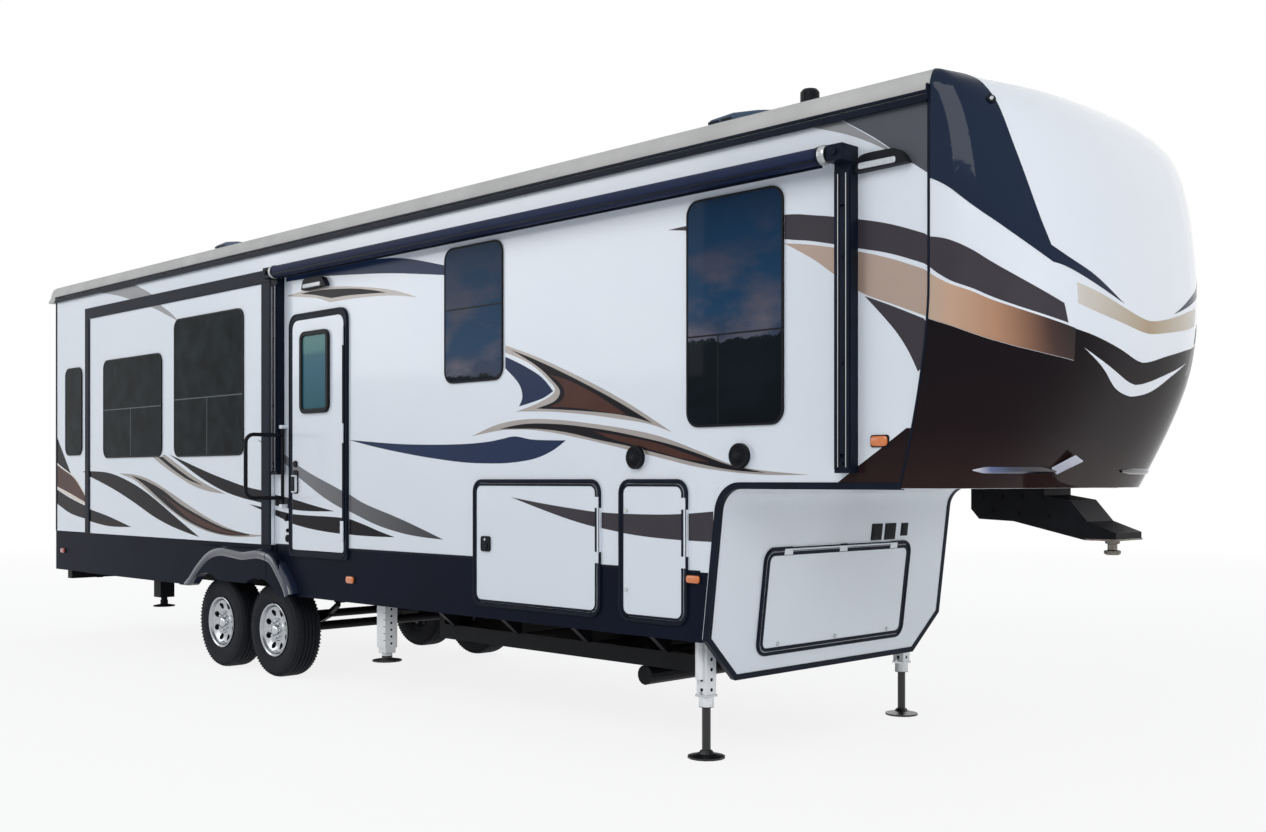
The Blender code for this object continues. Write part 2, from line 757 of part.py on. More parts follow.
REAR_WINDOW = (-0.700, 0.400, 1.950, 2.850)
TAIL_LAMP_Y = HALF - 0.239
TAIL_LAMP_HALF = 0.055
TAIL_LAMP_Z = (1.180, 1.480)


def make_rear():
    """Rear wall, its window and lamps, and the rear skirt that wraps the corners."""
    base = prism(rear_plan(), upright, SKIRT_TOP_Z + SEAT, CROWN_Z + 0.05)
    top = [(y, z - SEAT) for y, z in roof_outline(ROOF_THICK)]
    reach = HALF + 0.01
    outline = [(-reach, 0.5), (reach, 0.5), (reach, GUTTER_Z - SEAT), *top[::-1], (-reach, GUTTER_Z - SEAT)]
    keep = prism(outline, lengthwise, REAR_X - 1, REAR_X + 1)
    y0, y1, z0, z1 = REAR_WINDOW
    hole = prism(rounded_rectangle(y0, y1, z0, z1, WINDOW_CORNER), lengthwise, REAR_X - 1, REAR_X + 1)
    lamps = []
    for side in (DOOR_SIDE, ROAD_SIDE):
        y = side * TAIL_LAMP_Y
        lamp = rounded_rectangle(y - TAIL_LAMP_HALF, y + TAIL_LAMP_HALF, *TAIL_LAMP_Z, 0.03, 3)
        lamps.append(prism(lamp, lengthwise, REAR_X - 0.115, REAR_X - 0.04))
    solid("rear_wall", "gelcoat_white", base, add=lamps, cut=[hole], keep=keep)
    pane = prism(
        rounded_rectangle(y0 - 0.02, y1 + 0.02, z0 - 0.02, z1 + 0.02, WINDOW_CORNER), lengthwise,
        REAR_X - REAR_BULGE - SEAT - PANE, REAR_X - REAR_BULGE - SEAT,
    )
    solid("window_rear", "glass_tint", pane)
    skirt_end = SLIDE_X[0] - RUN
    outer = [(skirt_end, -HALF), *rear_curve(0.0), (skirt_end, HALF)]
    t = SKIRT_THICK
    inner = [(skirt_end, -HALF + t), *[(x + 0.02, y) for x, y in rear_curve(t)], (skirt_end, HALF - t)]
    base = prism(outer + inner[::-1], upright, SKIRT_BOTTOM_Z, SKIRT_TOP_Z)
    solid("skirt_rear", "skirt_navy", base)


def make_roof():
    outer = roof_outline()
    inner = roof_outline(ROOF_THICK)
    wall_in = HALF - WALL + 0.002
    under = [p for p in inner if p[1] > GUTTER_Z + 0.02]
    ledge = [(-wall_in, GUTTER_Z + SEAT), *under, (wall_in, GUTTER_Z + SEAT)]
    lip = HALF + 0.018
    outline = [
        (-HALF, GUTTER_Z + SEAT), (-lip, GUTTER_Z + SEAT), (-lip, GUTTER_Z + 0.022),
        *[p for p in outer if p[1] > GUTTER_Z + 0.023],
        (lip, GUTTER_Z + 0.022), (lip, GUTTER_Z + SEAT), (HALF, GUTTER_Z + SEAT),
        *ledge[::-1],
    ]
    base = prism(outline, lengthwise, REAR_X - REAR_BULGE - ROOF_REAR_OVERHANG, SEAM_X - SEAT)
    solid("roof", "roof_grey", base)


def cap_grid():
    """Rows of points over the front cap, each row running from the door side to the road side."""
    rows = []
    for ahead, z_middle in CAP_PROFILE:
        fade = cap_fade(z_middle)
        row = []
        for k in range(-CAP_COLUMNS, CAP_COLUMNS + 1):
            angle = abs(k) / CAP_COLUMNS * math.pi / 2
            y = math.copysign(HALF * math.sin(angle) ** (2 / CAP_SIDE_POWER), k)
            near = math.cos(angle) ** (2 / CAP_NOSE_POWER) if abs(k) < CAP_COLUMNS else 0.0
            z = z_middle - (CROWN_Z - roof_z(y)) * fade
            edge = seam_x(z)
            row.append(Vector((edge + (SEAM_X + ahead - edge) * near, y, z)))
        rows.append(row)
    return rows


def make_front_cap():
    """Moulded nose of the bedroom, a hollow shell open to the rear and below."""
    bm = bmesh.new()
    outer = [[bm.verts.new(point) for point in row] for row in cap_grid()]
    for row, following in zip(outer, outer[1:]):
        for k in range(len(row) - 1):
            bm.faces.new((row[k], following[k], following[k + 1], row[k + 1]))
    bm.normal_update()
    last_row, last_column = len(outer) - 1, len(outer[0]) - 1
    inner = []
    for i, row in enumerate(outer):
        inner.append([])
        for k, vert in enumerate(row):
            inward = -vert.normal
            if i == 0 or k in (0, last_column):
                inward.x = 0.0
            if i == last_row or k in (0, last_column):
                inward.z = 0.0
            inner[-1].append(bm.verts.new(vert.co + inward.normalized() * CAP_THICK))
    for row, following in zip(inner, inner[1:]):
        for k in range(len(row) - 1):
            bm.faces.new((row[k], row[k + 1], following[k + 1], following[k]))
    rim = [(i, 0) for i in range(last_row)] + [(last_row, k) for k in range(last_column)]
    rim += [(i, last_column) for i in range(last_row, 0, -1)] + [(0, k) for k in range(last_column, 0, -1)]
    for (i, k), (j, m) in zip(rim, rim[1:] + rim[:1]):
        bm.faces.new((outer[i][k], outer[j][m], inner[j][m], inner[i][k]))
    bmesh.ops.recalc_face_normals(bm, faces=bm.faces[:])
    solid("front_cap", "gelcoat_white", bm)


def make_floors():
    edge = HALF - WALL - SEAT
    rear_in = REAR_X + 0.060
    base = box(rear_in, STEP_X, -edge, edge, FLOOR_TOP_Z - FLOOR_THICK, FLOOR_TOP_Z)
    solid("main_floor", "floor_board", base)
    low_row = cap_grid()[-1]
    wide = HALF - WALL - SEAT
    plan = [(BOX_TOP_X - BOX_WALL - 0.02, -wide)]
    for point in low_row:
        shrink = CAP_THICK + 0.035
        scale = (HALF - shrink) / HALF
        plan.append((point.x - shrink, point.y * scale))
    plan.append((BOX_TOP_X - BOX_WALL - 0.02, wide))
    over = prism(plan, upright, DECK_BOTTOM_Z + SEAT, DECK_TOP_Z)
    shelf = box(STEP_X, BOX_TOP_X - BOX_WALL, -wide, wide, DECK_SHELF_Z, DECK_TOP_Z)
    riser = box(STEP_X + SEAT, STEP_X + 0.03, -wide, wide, FLOOR_TOP_Z - FLOOR_THICK, DECK_TOP_Z - 0.001)
    solid("upper_floor", "floor_board", over, add=[shelf, riser])


HATCH_HALF = HALF - 0.469
HATCH_TOP_Z = 1.215
HATCH_LOW_Z = 0.608
HATCH_THICK = 0.045
HATCH_PROUD = 0.010
HATCH_HINGE_INSET = 0.150


def down_front(z):
    """Distance down the leaning front at a height."""
    return (BOX_TOP_Z - z) / math.cos(BOX_LEAN)


def cove_outline():
    """Section (x, z) of the cove that carries the leaning front into the underside of the nose."""
    top = BOX_TOP_Z - SEAT
    centre_x = BOX_TOP_X + (BOX_COVE - (BOX_COVE + SEAT) * math.sin(BOX_LEAN)) / math.cos(BOX_LEAN)
    points = [(BOX_TOP_X - 0.5 * BOX_WALL, top)]
    for k in range(9):
        angle = math.pi / 2 + (math.pi / 2 - BOX_LEAN) * k / 8
        x = centre_x + BOX_COVE * math.cos(angle)
        points.append((x, top - BOX_COVE + BOX_COVE * math.sin(angle)))
    low = points[-1]
    return [*points, (low[0] - 0.5 * BOX_WALL, low[1])]


def make_storage_front():
    outline = filleted([
        (-HALF, BOX_WALL * math.tan(BOX_LEAN) + SEAT, 0),
        (HALF, BOX_WALL * math.tan(BOX_LEAN) + SEAT, 0),
        (HALF, down_front(BOX_KNEE_Z), 0),
        (BOX_FOOT_HALF, down_front(BOX_FOOT_Z), 0),
        (-BOX_FOOT_HALF, down_front(BOX_FOOT_Z), 0),
        (-HALF, down_front(BOX_KNEE_Z), 0),
    ])
    hatch = (-HATCH_HALF, HATCH_HALF, down_front(HATCH_TOP_Z), down_front(HATCH_LOW_Z))
    hole = baggage_outline(hatch, RUN)
    base = prism(outline, on_box_front, -BOX_WALL + 0.001, 0, [hole])
    cove = prism(cove_outline(), across, -HALF, HALF)
    panel = prism(baggage_outline(hatch), on_box_front, HATCH_PROUD - HATCH_THICK, HATCH_PROUD)
    pin_v, pin_w = (hatch[2] - HINGE_SET, HATCH_PROUD + HINGE_LIFT)
    reach = HATCH_HALF - HATCH_HINGE_INSET
    ends = [on_box_front(y, pin_v, pin_w) for y in (-reach, reach)]
    fixed, moving = hinge_barrels(*ends, (1, 6, 1, 6, 1))
    carried, swung = [], []
    for a, b in fixed:
        leaf = [(a.y, pin_v - 0.018), (b.y, pin_v - 0.018), (b.y, pin_v - 0.002), (a.y, pin_v - 0.002)]
        carried += [rod(a, b, HINGE_PIN, 10), prism(leaf, on_box_front, -0.004, pin_w)]
    for a, b in moving:
        leaf = [(a.y, pin_v), (b.y, pin_v), (b.y, hatch[2] + 0.020), (a.y, hatch[2] + 0.020)]
        swung += [rod(a, b, HINGE_PIN, 10), prism(leaf, on_box_front, HATCH_PROUD - 0.003, pin_w + 0.003)]
    solid("storage_front_wall", "gelcoat_white", base, add=[cove, *carried])
    solid("front_hatch", "gelcoat_white", panel, add=swung, origin=on_box_front(0, pin_v, pin_w))


def make_windows():
    for side, windows in ((DOOR_SIDE, DOOR_SIDE_WINDOWS), (ROAD_SIDE, ROAD_SIDE_WINDOWS)):
        for name, (x0, x1, z0, z1) in windows.items():
            pane = prism(rounded_rectangle(x0, x1, z0, z1, WINDOW_CORNER), on_side(side), -SEAT - PANE, -SEAT)
            solid(name, "glass_tint", pane)


def make_slides():
    """Slide-out rooms: a box that runs through the wall, with an outer wall that laps over it."""
    face = -(SLIDE_STAND_OFF + SLIDE_FLANGE)
    for side, tag in ((DOOR_SIDE, "door_side"), (ROAD_SIDE, "road_side")):
        place = on_side(side)
        x0, x1 = SLIDE_X
        bx0, bx1 = (x0 + SLIDE_LAP + SLIDE_CLEAR, x1 - SLIDE_LAP - SLIDE_CLEAR)
        bz0, bz1 = (FLOOR_TOP_Z + 0.010, SLIDE_TOP_Z - SLIDE_LAP - SLIDE_CLEAR)
        windows = dict(SLIDE_WINDOWS)
        if side == ROAD_SIDE:
            del windows["slide_window_rear"]
        low = SKIRT_TOP_Z + SEAT
        rim = [(x0, low), (x1, low), (x1, SLIDE_TOP_Z), (x0, SLIDE_TOP_Z)]
        field_x = (x0 + SLIDE_TRIM_REAR, x1 - SLIDE_TRIM_FRONT)
        field_z = (low + 0.001, SLIDE_TOP_Z - SLIDE_TRIM_TOP)
        field = [(field_x[i], field_z[j]) for i, j in ((0, 0), (1, 0), (1, 1), (0, 1))]
        flange = prism(rim, place, face, face + SLIDE_FLANGE)
        back = face + SLIDE_FLANGE + SEAT
        room = prism([(bx0, bz0), (bx1, bz0), (bx1, bz1), (bx0, bz1)], place, back, HALF - SLIDE_INNER_Y)
        plug = prism([(bx0, low), (bx1, low), (bx1, bz1), (bx0, bz1)], place, face + 0.01, back + 0.01)
        trim = prism(rim, place, face - SLIDE_TRIM, face + 0.005, [field])
        s = SLIDE_SHELL
        inside = prism(
            [(bx0 + s, bz0 + s), (bx1 - s, bz0 + s), (bx1 - s, bz1 - s), (bx0 + s, bz1 - s)],
            place, face + WALL, HALF,
        )
        holes = [prism(window_hole(sizes), place, -0.2, 0.2) for sizes in windows.values()]
        strips = [
            prism([(x, FLOOR_TOP_Z + SEAT), (x + 0.06, FLOOR_TOP_Z + SEAT), (x + 0.06, bz0 + 0.01), (x, bz0 + 0.01)],
                  place, 0.070, HALF - SLIDE_INNER_Y - 0.02)
            for x in (bx0 + 0.4, (bx0 + bx1) / 2, bx1 - 0.46)
        ]
        hub = Vector((sum(SLIDE_X) / 2, side * HALF, FLOOR_TOP_Z))
        added = [plug, room, trim, *strips]
        solid(f"slide_room_{tag}", "gelcoat_white", flange, add=added, cut=[inside, *holes], origin=hub)
        for name, (wx0, wx1, wz0, wz1) in windows.items():
            pane = prism(
                rounded_rectangle(wx0, wx1, wz0, wz1, WINDOW_CORNER), place, face - SEAT - PANE, face - SEAT,
            )
            solid(f"{name}_{tag}", "glass_tint", pane, origin=hub)
        arches = arch_points(ARCH_RADIUS, ARCH_DIP_Z)
        plate = prism(
            [(x0, SKIRT_TOP_Z), (x0, SKIRT_BOTTOM_Z), (x1, SKIRT_BOTTOM_Z), (x1, SKIRT_TOP_Z)],
            place, face, face + SLIDE_FLANGE,
        )
        wheel_gap = prism([*arches, (FRONT_AXLE_X + 0.4, 0.3), (REAR_AXLE_X - 0.4, 0.3)], place, -0.4, 0.2)
        ahead = prism([(x1, 0.3), (0, 0.3), (0, 1.3), (x1, 1.3)], place, -0.4, 0.2)
        flare = prism(flare_outline(), place, -FLARE_OUT, face + 0.01)
        solid(f"slide_skirt_{tag}", "skirt_navy", plate, add=[flare], cut=[wheel_gap, ahead], origin=hub)


def make_entry_door():
    x0, x1 = DOOR_FRAME_X
    z0, z1 = DOOR_FRAME_Z
    place = on_side(DOOR_SIDE)
    outer = filleted([(x0, z0, 0.03), (x1, z0, 0.03), (x1, z1, DOOR_CORNER), (x0, z1, DOOR_CORNER)])
    ring = prism(outer, place, -0.018, -SEAT, [door_opening(RUN)])
    hinge_x = x1 - DOOR_FRAME_WIDTH + HINGE_SET
    hinge = Vector((hinge_x, -(HALF + DOOR_PROUD + DOOR_HINGE_LIFT), DOOR_FRAME_Z[0]))
    carried, swung = side_hinge(
        DOOR_SIDE, hinge_x, z0 + DOOR_HINGE_INSET_Z, z1 - DOOR_HINGE_INSET_Z, DOOR_PROUD, (1, 4, 1, 4, 1),
        DOOR_HINGE_LIFT, 0.004,
    )
    solid("entry_door_frame", "trim_black", ring, add=carried)
    panel = prism(door_opening(), place, -DOOR_PROUD, DOOR_THICK - DOOR_PROUD)
    wx0, wx1, wz0, wz1 = DOOR_WINDOW
    lap = DOOR_WINDOW_LAP
    hole_outline = rounded_rectangle(wx0 + lap, wx1 - lap, wz0 + lap, wz1 - lap, DOOR_WINDOW_CORNER - 0.010)
    hole = prism(hole_outline, place, -0.2, 0.2)
    latch = prism(rounded_rectangle(*DOOR_LATCH, 0.012, 2), place, -DOOR_PROUD - DOOR_LATCH_PROUD, 0)
    solid("entry_door", "gelcoat_white", panel, add=[latch, *swung], cut=[hole], origin=hinge)
    pane_outline = rounded_rectangle(*DOOR_WINDOW, DOOR_WINDOW_CORNER)
    pane = prism(pane_outline, place, -DOOR_PROUD - SEAT - PANE, -DOOR_PROUD - SEAT)
    solid("entry_door_glass", "glass_tint", pane, origin=hinge)


def make_grab_handle():
    """Fold-out handle beside the door, swung out from the wall."""
    y = -(HALF + HANDLE_STAND_OFF)
    z0, z1 = HANDLE_Z
    shaft = rod((HANDLE_X, y, z0 - 0.001), (HANDLE_X, y, z1 + 0.001), HANDLE_SHAFT, 14)
    bend = HANDLE_BEND
    low, high = (z0 + 0.05, z1 - 0.05)
    tip = y - HANDLE_REACH
    route = [(HANDLE_X, y, low), (HANDLE_X, tip + bend, low)]
    for k in range(1, 5):
        angle = math.pi / 2 * k / 5
        route.append((HANDLE_X, tip + bend - bend * math.sin(angle), low + bend - bend * math.cos(angle)))
    route.append((HANDLE_X, tip, low + bend))
    top = [(x, yy, low + high - z) for x, yy, z in route[::-1]]
    loop = bent_tube(route + top, HANDLE_TUBE, 8)
    solid("grab_handle", "frame_black", shaft, add=[loop], origin=(HANDLE_X, y, z0))


def make_baggage_doors():
    for name, (side, x0, x1, z0, z1) in BAGGAGE_DOORS.items():
        place = on_side(side)
        panel = prism(baggage_outline((x0, x1, z0, z1)), place, -BAGGAGE_PROUD, BAGGAGE_THICK - BAGGAGE_PROUD)
        hinge = Vector((x1 + HINGE_SET, side * (HALF + BAGGAGE_PROUD + HINGE_LIFT), (z0 + z1) / 2))
        solid(name, "gelcoat_white", panel, add=baggage_hinge(side, x1)[1], origin=hinge)


def make_awning():
    y = -AWNING_Y
    x0, x1 = AWNING_X
    cap = AWNING_RADIUS + AWNING_CAP_STEP
    length = AWNING_CAP_LENGTH
    half_cap = [(0.0, 0.020), (0.020, cap), (length, cap), (length + 0.001, AWNING_RADIUS)]
    steps = [(x0 + along, radius) for along, radius in half_cap]
    steps += [(x1 - along, radius) for along, radius in half_cap[::-1]]
    solid("awning_roller", "awning_navy", disc_stack(steps, (0, y, AWNING_Z), "X", 24))
    for name, ax0, ax1, z0, z1 in (
        ("awning_arm_rear", x0 - 0.100, x0 - SEAT, 1.690, AWNING_ARM_TOP_Z),
        ("awning_arm_front", x1 + SEAT, x1 + 0.104, 1.680, AWNING_ARM_TOP_Z),
    ):
        channel = box(ax0, ax1, -(HALF + AWNING_ARM_PROUD), -(HALF + SEAT), z0, z1)
        groove = box(ax0 + 0.035, ax1 - 0.035, -(HALF + 0.08), -(HALF + 0.050), z0 + 0.08, z1 - 0.30)
        head = box(ax0, ax1, y - 0.030, -(HALF + 0.030), AWNING_Z - 0.045, AWNING_Z + 0.040)
        solid(name, "trim_black", channel, add=[head], cut=[groove])


def make_roof_units():
    """Two air conditioners and the small vent cap near the front."""
    base_z = CROWN_Z + SEAT
    top_z = base_z + AC_HEIGHT
    for name, start in AC_START_X.items():
        end = start + AC_LENGTH
        outline = filleted([
            (start, base_z, 0),
            (end, base_z, 0),
            (end, base_z + AC_SHOULDER, 0.04),
            (end - 0.120, top_z, 0.06),
            (start + 0.060, top_z, 0.05),
            (start, base_z + AC_SHOULDER + 0.010, 0.03),
        ], 3)
        base = prism(outline, across, -AC_HALF, AC_HALF)
        inset = AC_HALF - 0.06
        slots = [
            box(start - 0.05, start + 0.05, -inset, inset, base_z + z, base_z + z + AC_SLOT) for z in AC_SLOT_Z
        ]
        solid(name, "trim_black", base, cut=slots)
    x, y = VENT_PLACE
    foot = roof_z(y) + SEAT + 0.001
    flange, stem, head = (VENT_RADII[part] for part in ("flange", "stem", "head"))
    low = CROWN_Z + VENT_STEM
    high = low + VENT_HEAD
    crown = high + VENT_DOME
    steps = [
        (foot, flange), (foot + 0.012, flange), (foot + 0.013, stem), (low, stem),
        (low + 0.001, head), (high, head), (crown, flange),
    ]
    solid("roof_vent", "trim_black", disc_stack(steps, (x, y, 0), "Z", 20))


def make_pin_box():
    """Box that hangs from the overhang and carries the kingpin on its plate."""
    back, front = PIN_BOX_ROOT_X
    outline = [(back, DECK_BOTTOM_Z), *PIN_BOX_HEEL, *PIN_PLATE, *PIN_BOX_TOP, (front, DECK_BOTTOM_Z)]
    base = prism(outline, across, -PIN_HALF, PIN_HALF)
    steps = [(KINGPIN_TIP_Z + up, radius) for up, radius in KINGPIN_STEPS]
    steps.append((PIN_PLATE[0][1] + KINGPIN_ROOT, steps[-1][1]))
    solid("pin_box", "frame_black", base, add=[disc_stack(steps, (KINGPIN_X, 0, 0), "Z", 24)])


def jack_tube(x, y, width, low):
    half = width / 2
    return box(x - half, x + half, y - half, y + half, low, JACK_TOP_Z)


def make_jacks():
    """Front legs down on their feet, and the folded middle and rear jacks."""
    front_steps = [
        (0.0, 0.113), (0.012, 0.113), (0.026, 0.050), (0.045, 0.034), (0.046, 0.0265), (0.300, 0.0265),
        (0.301, 0.046), (0.366, 0.046),
    ]
    inner = JACK_INNER_RADIUS
    middle_steps = [(MIDDLE_FOOT_Z + z, r) for z, r in JACK_FOOT] + [(0.322, inner), (0.400, inner)]
    rear_steps = [(REAR_FOOT_Z + z, r * 0.9) for z, r in JACK_FOOT] + [(0.490, inner), (0.560, inner)]
    for side, tag in ((DOOR_SIDE, "door_side"), (ROAD_SIDE, "road_side")):
        x, y = FRONT_JACK_X, side * FRONT_JACK_Y
        tube = jack_tube(x, y, FRONT_JACK_TUBE, JACK_SLEEVE_Z)
        side_y = y + side * 0.060
        side_tube = rod((x, side_y, JACK_SIDE_TUBE_Z[0]), (x, side_y, JACK_SIDE_TUBE_Z[1]), 0.026, 10)
        leg = disc_stack(front_steps, (x, y, 0), "Z", 14)
        solid(f"jack_front_{tag}", "jack_white", leg, add=[tube, side_tube])

        x, y = MIDDLE_JACK_X, side * MIDDLE_JACK_Y
        tube = jack_tube(x, y, MIDDLE_JACK_TUBE, JACK_SLEEVE_Z)
        solid(f"jack_middle_{tag}", "jack_white", disc_stack(middle_steps, (x, y, 0), "Z", 14), add=[tube])

        x, y = REAR_JACK_X, side * REAR_JACK_Y
        tube = jack_tube(x, y, REAR_JACK_TUBE, REAR_JACK_SLEEVE_Z)
        solid(f"jack_rear_{tag}", "frame_black", disc_stack(rear_steps, (x, y, 0), "Z", 14), add=[tube])


def frame_members(side, floor_z, sill_end):
    """Boxes of one side of the frame: rail, dropped sill, drop post, bumper foot and jack brackets."""
    rail_half = RAIL_WIDTH / 2
    sill_top = SILL_BOTTOM_Z + SILL_HEIGHT
    middle_in = MIDDLE_JACK_Y - MIDDLE_JACK_TUBE / 2 - SEAT
    rear_in = REAR_JACK_Y - REAR_JACK_TUBE / 2 - SEAT
    rail_out = RAIL_Y + 0.025
    rows = [
        # x0, x1, y0, y1, z0, z1
        (TAIL_X, STEP_X - 0.02, RAIL_Y - rail_half, RAIL_Y + rail_half, RAIL_BOTTOM_Z, floor_z),
        (DROP_X, sill_end, SILL_Y - SILL_WIDTH / 2, SILL_Y + SILL_WIDTH / 2, SILL_BOTTOM_Z, sill_top),
        (DROP_X, DROP_X + 0.06, RAIL_Y - 0.025, SILL_Y + 0.025, SILL_BOTTOM_Z, floor_z),
        (TAIL_X, TAIL_X + 0.07, RAIL_Y - rail_half, RAIL_Y + rail_half, BUMPER_BOTTOM_Z, RAIL_BOTTOM_Z + 0.02),
        (MIDDLE_JACK_X - 0.05, MIDDLE_JACK_X + 0.05, rail_out, middle_in, *JACK_BRACKET_Z),
        (REAR_JACK_X - 0.06, REAR_JACK_X + 0.06, rail_out - 0.015, rear_in, *JACK_BRACKET_Z),
    ]
    for x in (FRONT_AXLE_X + HANGER_REACH, (FRONT_AXLE_X + REAR_AXLE_X) / 2, REAR_AXLE_X - HANGER_REACH):
        hanger_z = (SPRING_TOP_Z + SEAT, RAIL_BOTTOM_Z + 0.02)
        rows.append((x - HANGER_HALF, x + HANGER_HALF, RAIL_Y - 0.028, RAIL_Y + 0.028, *hanger_z))
    return [box(x0, x1, *sorted((side * y0, side * y1)), z0, z1) for x0, x1, y0, y1, z0, z1 in rows]


def make_chassis():
    """Welded frame: rails, dropped front sills, cross members, outriggers and brackets."""
    floor_z = FLOOR_TOP_Z - FLOOR_THICK - SEAT
    sill_top = SILL_BOTTOM_Z + SILL_HEIGHT
    sill_end = FRONT_JACK_X - FRONT_JACK_TUBE / 2 - SEAT
    skirt_in = HALF - SKIRT_THICK - 0.008
    outrigger = [
        (SILL_Y, sill_top - 0.03), (skirt_in, SKIRT_BOTTOM_Z + 0.01),
        (skirt_in, OUTRIGGER_TOP_Z), (SILL_Y, OUTRIGGER_TOP_Z),
    ]
    members = []
    for side in (DOOR_SIDE, ROAD_SIDE):
        members += frame_members(side, floor_z, sill_end)
        for x in OUTRIGGER_X:
            members.append(prism([(side * y, z) for y, z in outrigger], lengthwise, x - 0.02, x + 0.02))
    for x in REAR_CROSS_X:
        members.append(box(x - CROSS_HALF, x + CROSS_HALF, -RAIL_Y, RAIL_Y, *CROSS_Z))
    for x in (DROP_X + CROSS_HALF, *FRONT_CROSS_X, sill_end - CROSS_HALF):
        members.append(box(x - CROSS_HALF, x + CROSS_HALF, -SILL_Y, SILL_Y, SILL_BOTTOM_Z + 0.01, sill_top))
    members.append(box(DROP_X + 0.01, sill_end - 0.01, -SILL_Y, SILL_Y, sill_top - 0.02, sill_top - 0.005))
    bumper_top = SKIRT_BOTTOM_Z - SEAT - 0.001
    members.append(box(*BUMPER_X, -BUMPER_HALF, BUMPER_HALF, BUMPER_BOTTOM_Z, bumper_top))
    tube_x, tube_z, tube_radius = CROSS_TUBE
    members.append(rod((tube_x, -CROSS_TUBE_HALF, tube_z), (tube_x, CROSS_TUBE_HALF, tube_z), tube_radius, 14))
    for y in (-CROSS_TUBE_HANGER_Y, CROSS_TUBE_HANGER_Y):
        hanger_z = (tube_z + 0.02, SILL_BOTTOM_Z + 0.05)
        members.append(box(tube_x - 0.03, tube_x + 0.03, y - 0.02, y + 0.02, *hanger_z))
    members.append(box(tube_x - 0.04, tube_x + 0.04, -SILL_Y, SILL_Y, SILL_BOTTOM_Z + 0.01, sill_top))
    solid("chassis_frame", "frame_black", members[0], add=members[1:])


def make_axles():
    """Axle tubes with brake drums, spindles, leaf springs and spring seats."""
    inner_face = TYRE_OUTER_Y - TYRE_WIDTH
    wheel_back = TYRE_OUTER_Y - TYRE_WIDTH / 2 + WHEEL_BACK
    z = TYRE_RADIUS
    for name, x in (("axle_front", FRONT_AXLE_X), ("axle_rear", REAR_AXLE_X)):
        tube = rod((x, -inner_face - 0.02, z), (x, inner_face + 0.02, z), AXLE_RADIUS, 12)
        add = []
        for side in (DOOR_SIDE, ROAD_SIDE):
            drum_in, drum_out = (side * (inner_face - 0.065), side * (wheel_back - RUN))
            add.append(rod((x, drum_in, z), (x, drum_out, z), DRUM_RADIUS, 16))
            add.append(rod((x, side * inner_face, z), (x, side * (wheel_back - SEAT), z), SPINDLE_RADIUS, 12))
            low = []
            for k in range(9):
                across_spring = math.cos(math.pi * k / 8)
                drop = SPRING_TOP_Z - SPRING_DROP + SPRING_RISE * across_spring ** 2
                low.append((x + SPRING_HALF * across_spring, drop))
            leaf = low + [(px, pz + SPRING_LEAF) for px, pz in low[::-1]]
            leaf_y = side * RAIL_Y
            near, far = (leaf_y - SPRING_WIDTH_HALF, leaf_y + SPRING_WIDTH_HALF)
            add.append(prism(leaf, across, near, far))
            short = [(px, pz - 0.020) for px, pz in low[2:-2]] + [(px, pz + 0.005) for px, pz in low[-3:1:-1]]
            add.append(prism(short, across, near, far))
            add.append(box(x - 0.055, x + 0.055, leaf_y - 0.035, leaf_y + 0.035, z, z + 0.065))
        solid(name, "frame_black", tube, add=add)


def tyre_profile():
    """Tyre section as (distance outwards from the wheel's middle, radius)."""
    half = TYRE_WIDTH / 2
    bead = half - 0.022
    outer = [
        (bead, RIM_RADIUS + SEAT), (bead, RIM_LIP_RADIUS + 0.003), (half, RIM_RADIUS + 0.090),
        (half - 0.008, TYRE_RADIUS - 0.042), (half - 0.026, TYRE_RADIUS - 0.012), (half - 0.055, TYRE_RADIUS),
    ]
    return outer + [(-a, r) for a, r in outer[::-1]]


def wheel_profile(side):
    """Rim section from the lip inwards, with the disc near the outer face."""
    half = TYRE_WIDTH / 2 - 0.022
    barrel = RIM_RADIUS
    lip = RIM_LIP_RADIUS
    rows = [
        (half + SEAT, barrel), (half + 0.002, lip), (half + 0.010, lip), (half - 0.014, barrel - 0.024),
        (half - 0.012, 0.110), (half - 0.022, 0.060), (half + 0.030, 0.052), (half + 0.036, 0.0),
        (WHEEL_BACK, 0.0), (WHEEL_BACK, 0.110), (WHEEL_BACK + 0.004, barrel - 0.014),
        (-half - 0.010, barrel - 0.014), (-half - 0.010, lip), (-half - SEAT, lip), (-half - SEAT, barrel),
    ]
    return [(side * a, r) for a, r in rows]


def make_wheels():
    middle = TYRE_OUTER_Y - TYRE_WIDTH / 2
    for side, tag in ((DOOR_SIDE, "door_side"), (ROAD_SIDE, "road_side")):
        for row, x in (("front", FRONT_AXLE_X), ("rear", REAR_AXLE_X)):
            hub = Vector((x, side * middle, TYRE_RADIUS))
            solid(f"tyre_{row}_{tag}", "rubber", turned(tyre_profile(), hub, sides=WHEEL_SIDES), origin=hub)
            windows = []
            for k in range(LUG_COUNT):
                angle = 2 * math.pi * k / LUG_COUNT
                at = hub + Vector((math.cos(angle), 0, math.sin(angle))) * 0.142
                windows.append(rod(at + Vector((0, -0.3, 0)), at + Vector((0, 0.3, 0)), 0.022, 6))
            rim = turned(wheel_profile(side), hub, sides=WHEEL_SIDES)
            solid(f"wheel_{row}_{tag}", "alloy", rim, cut=windows, origin=hub)


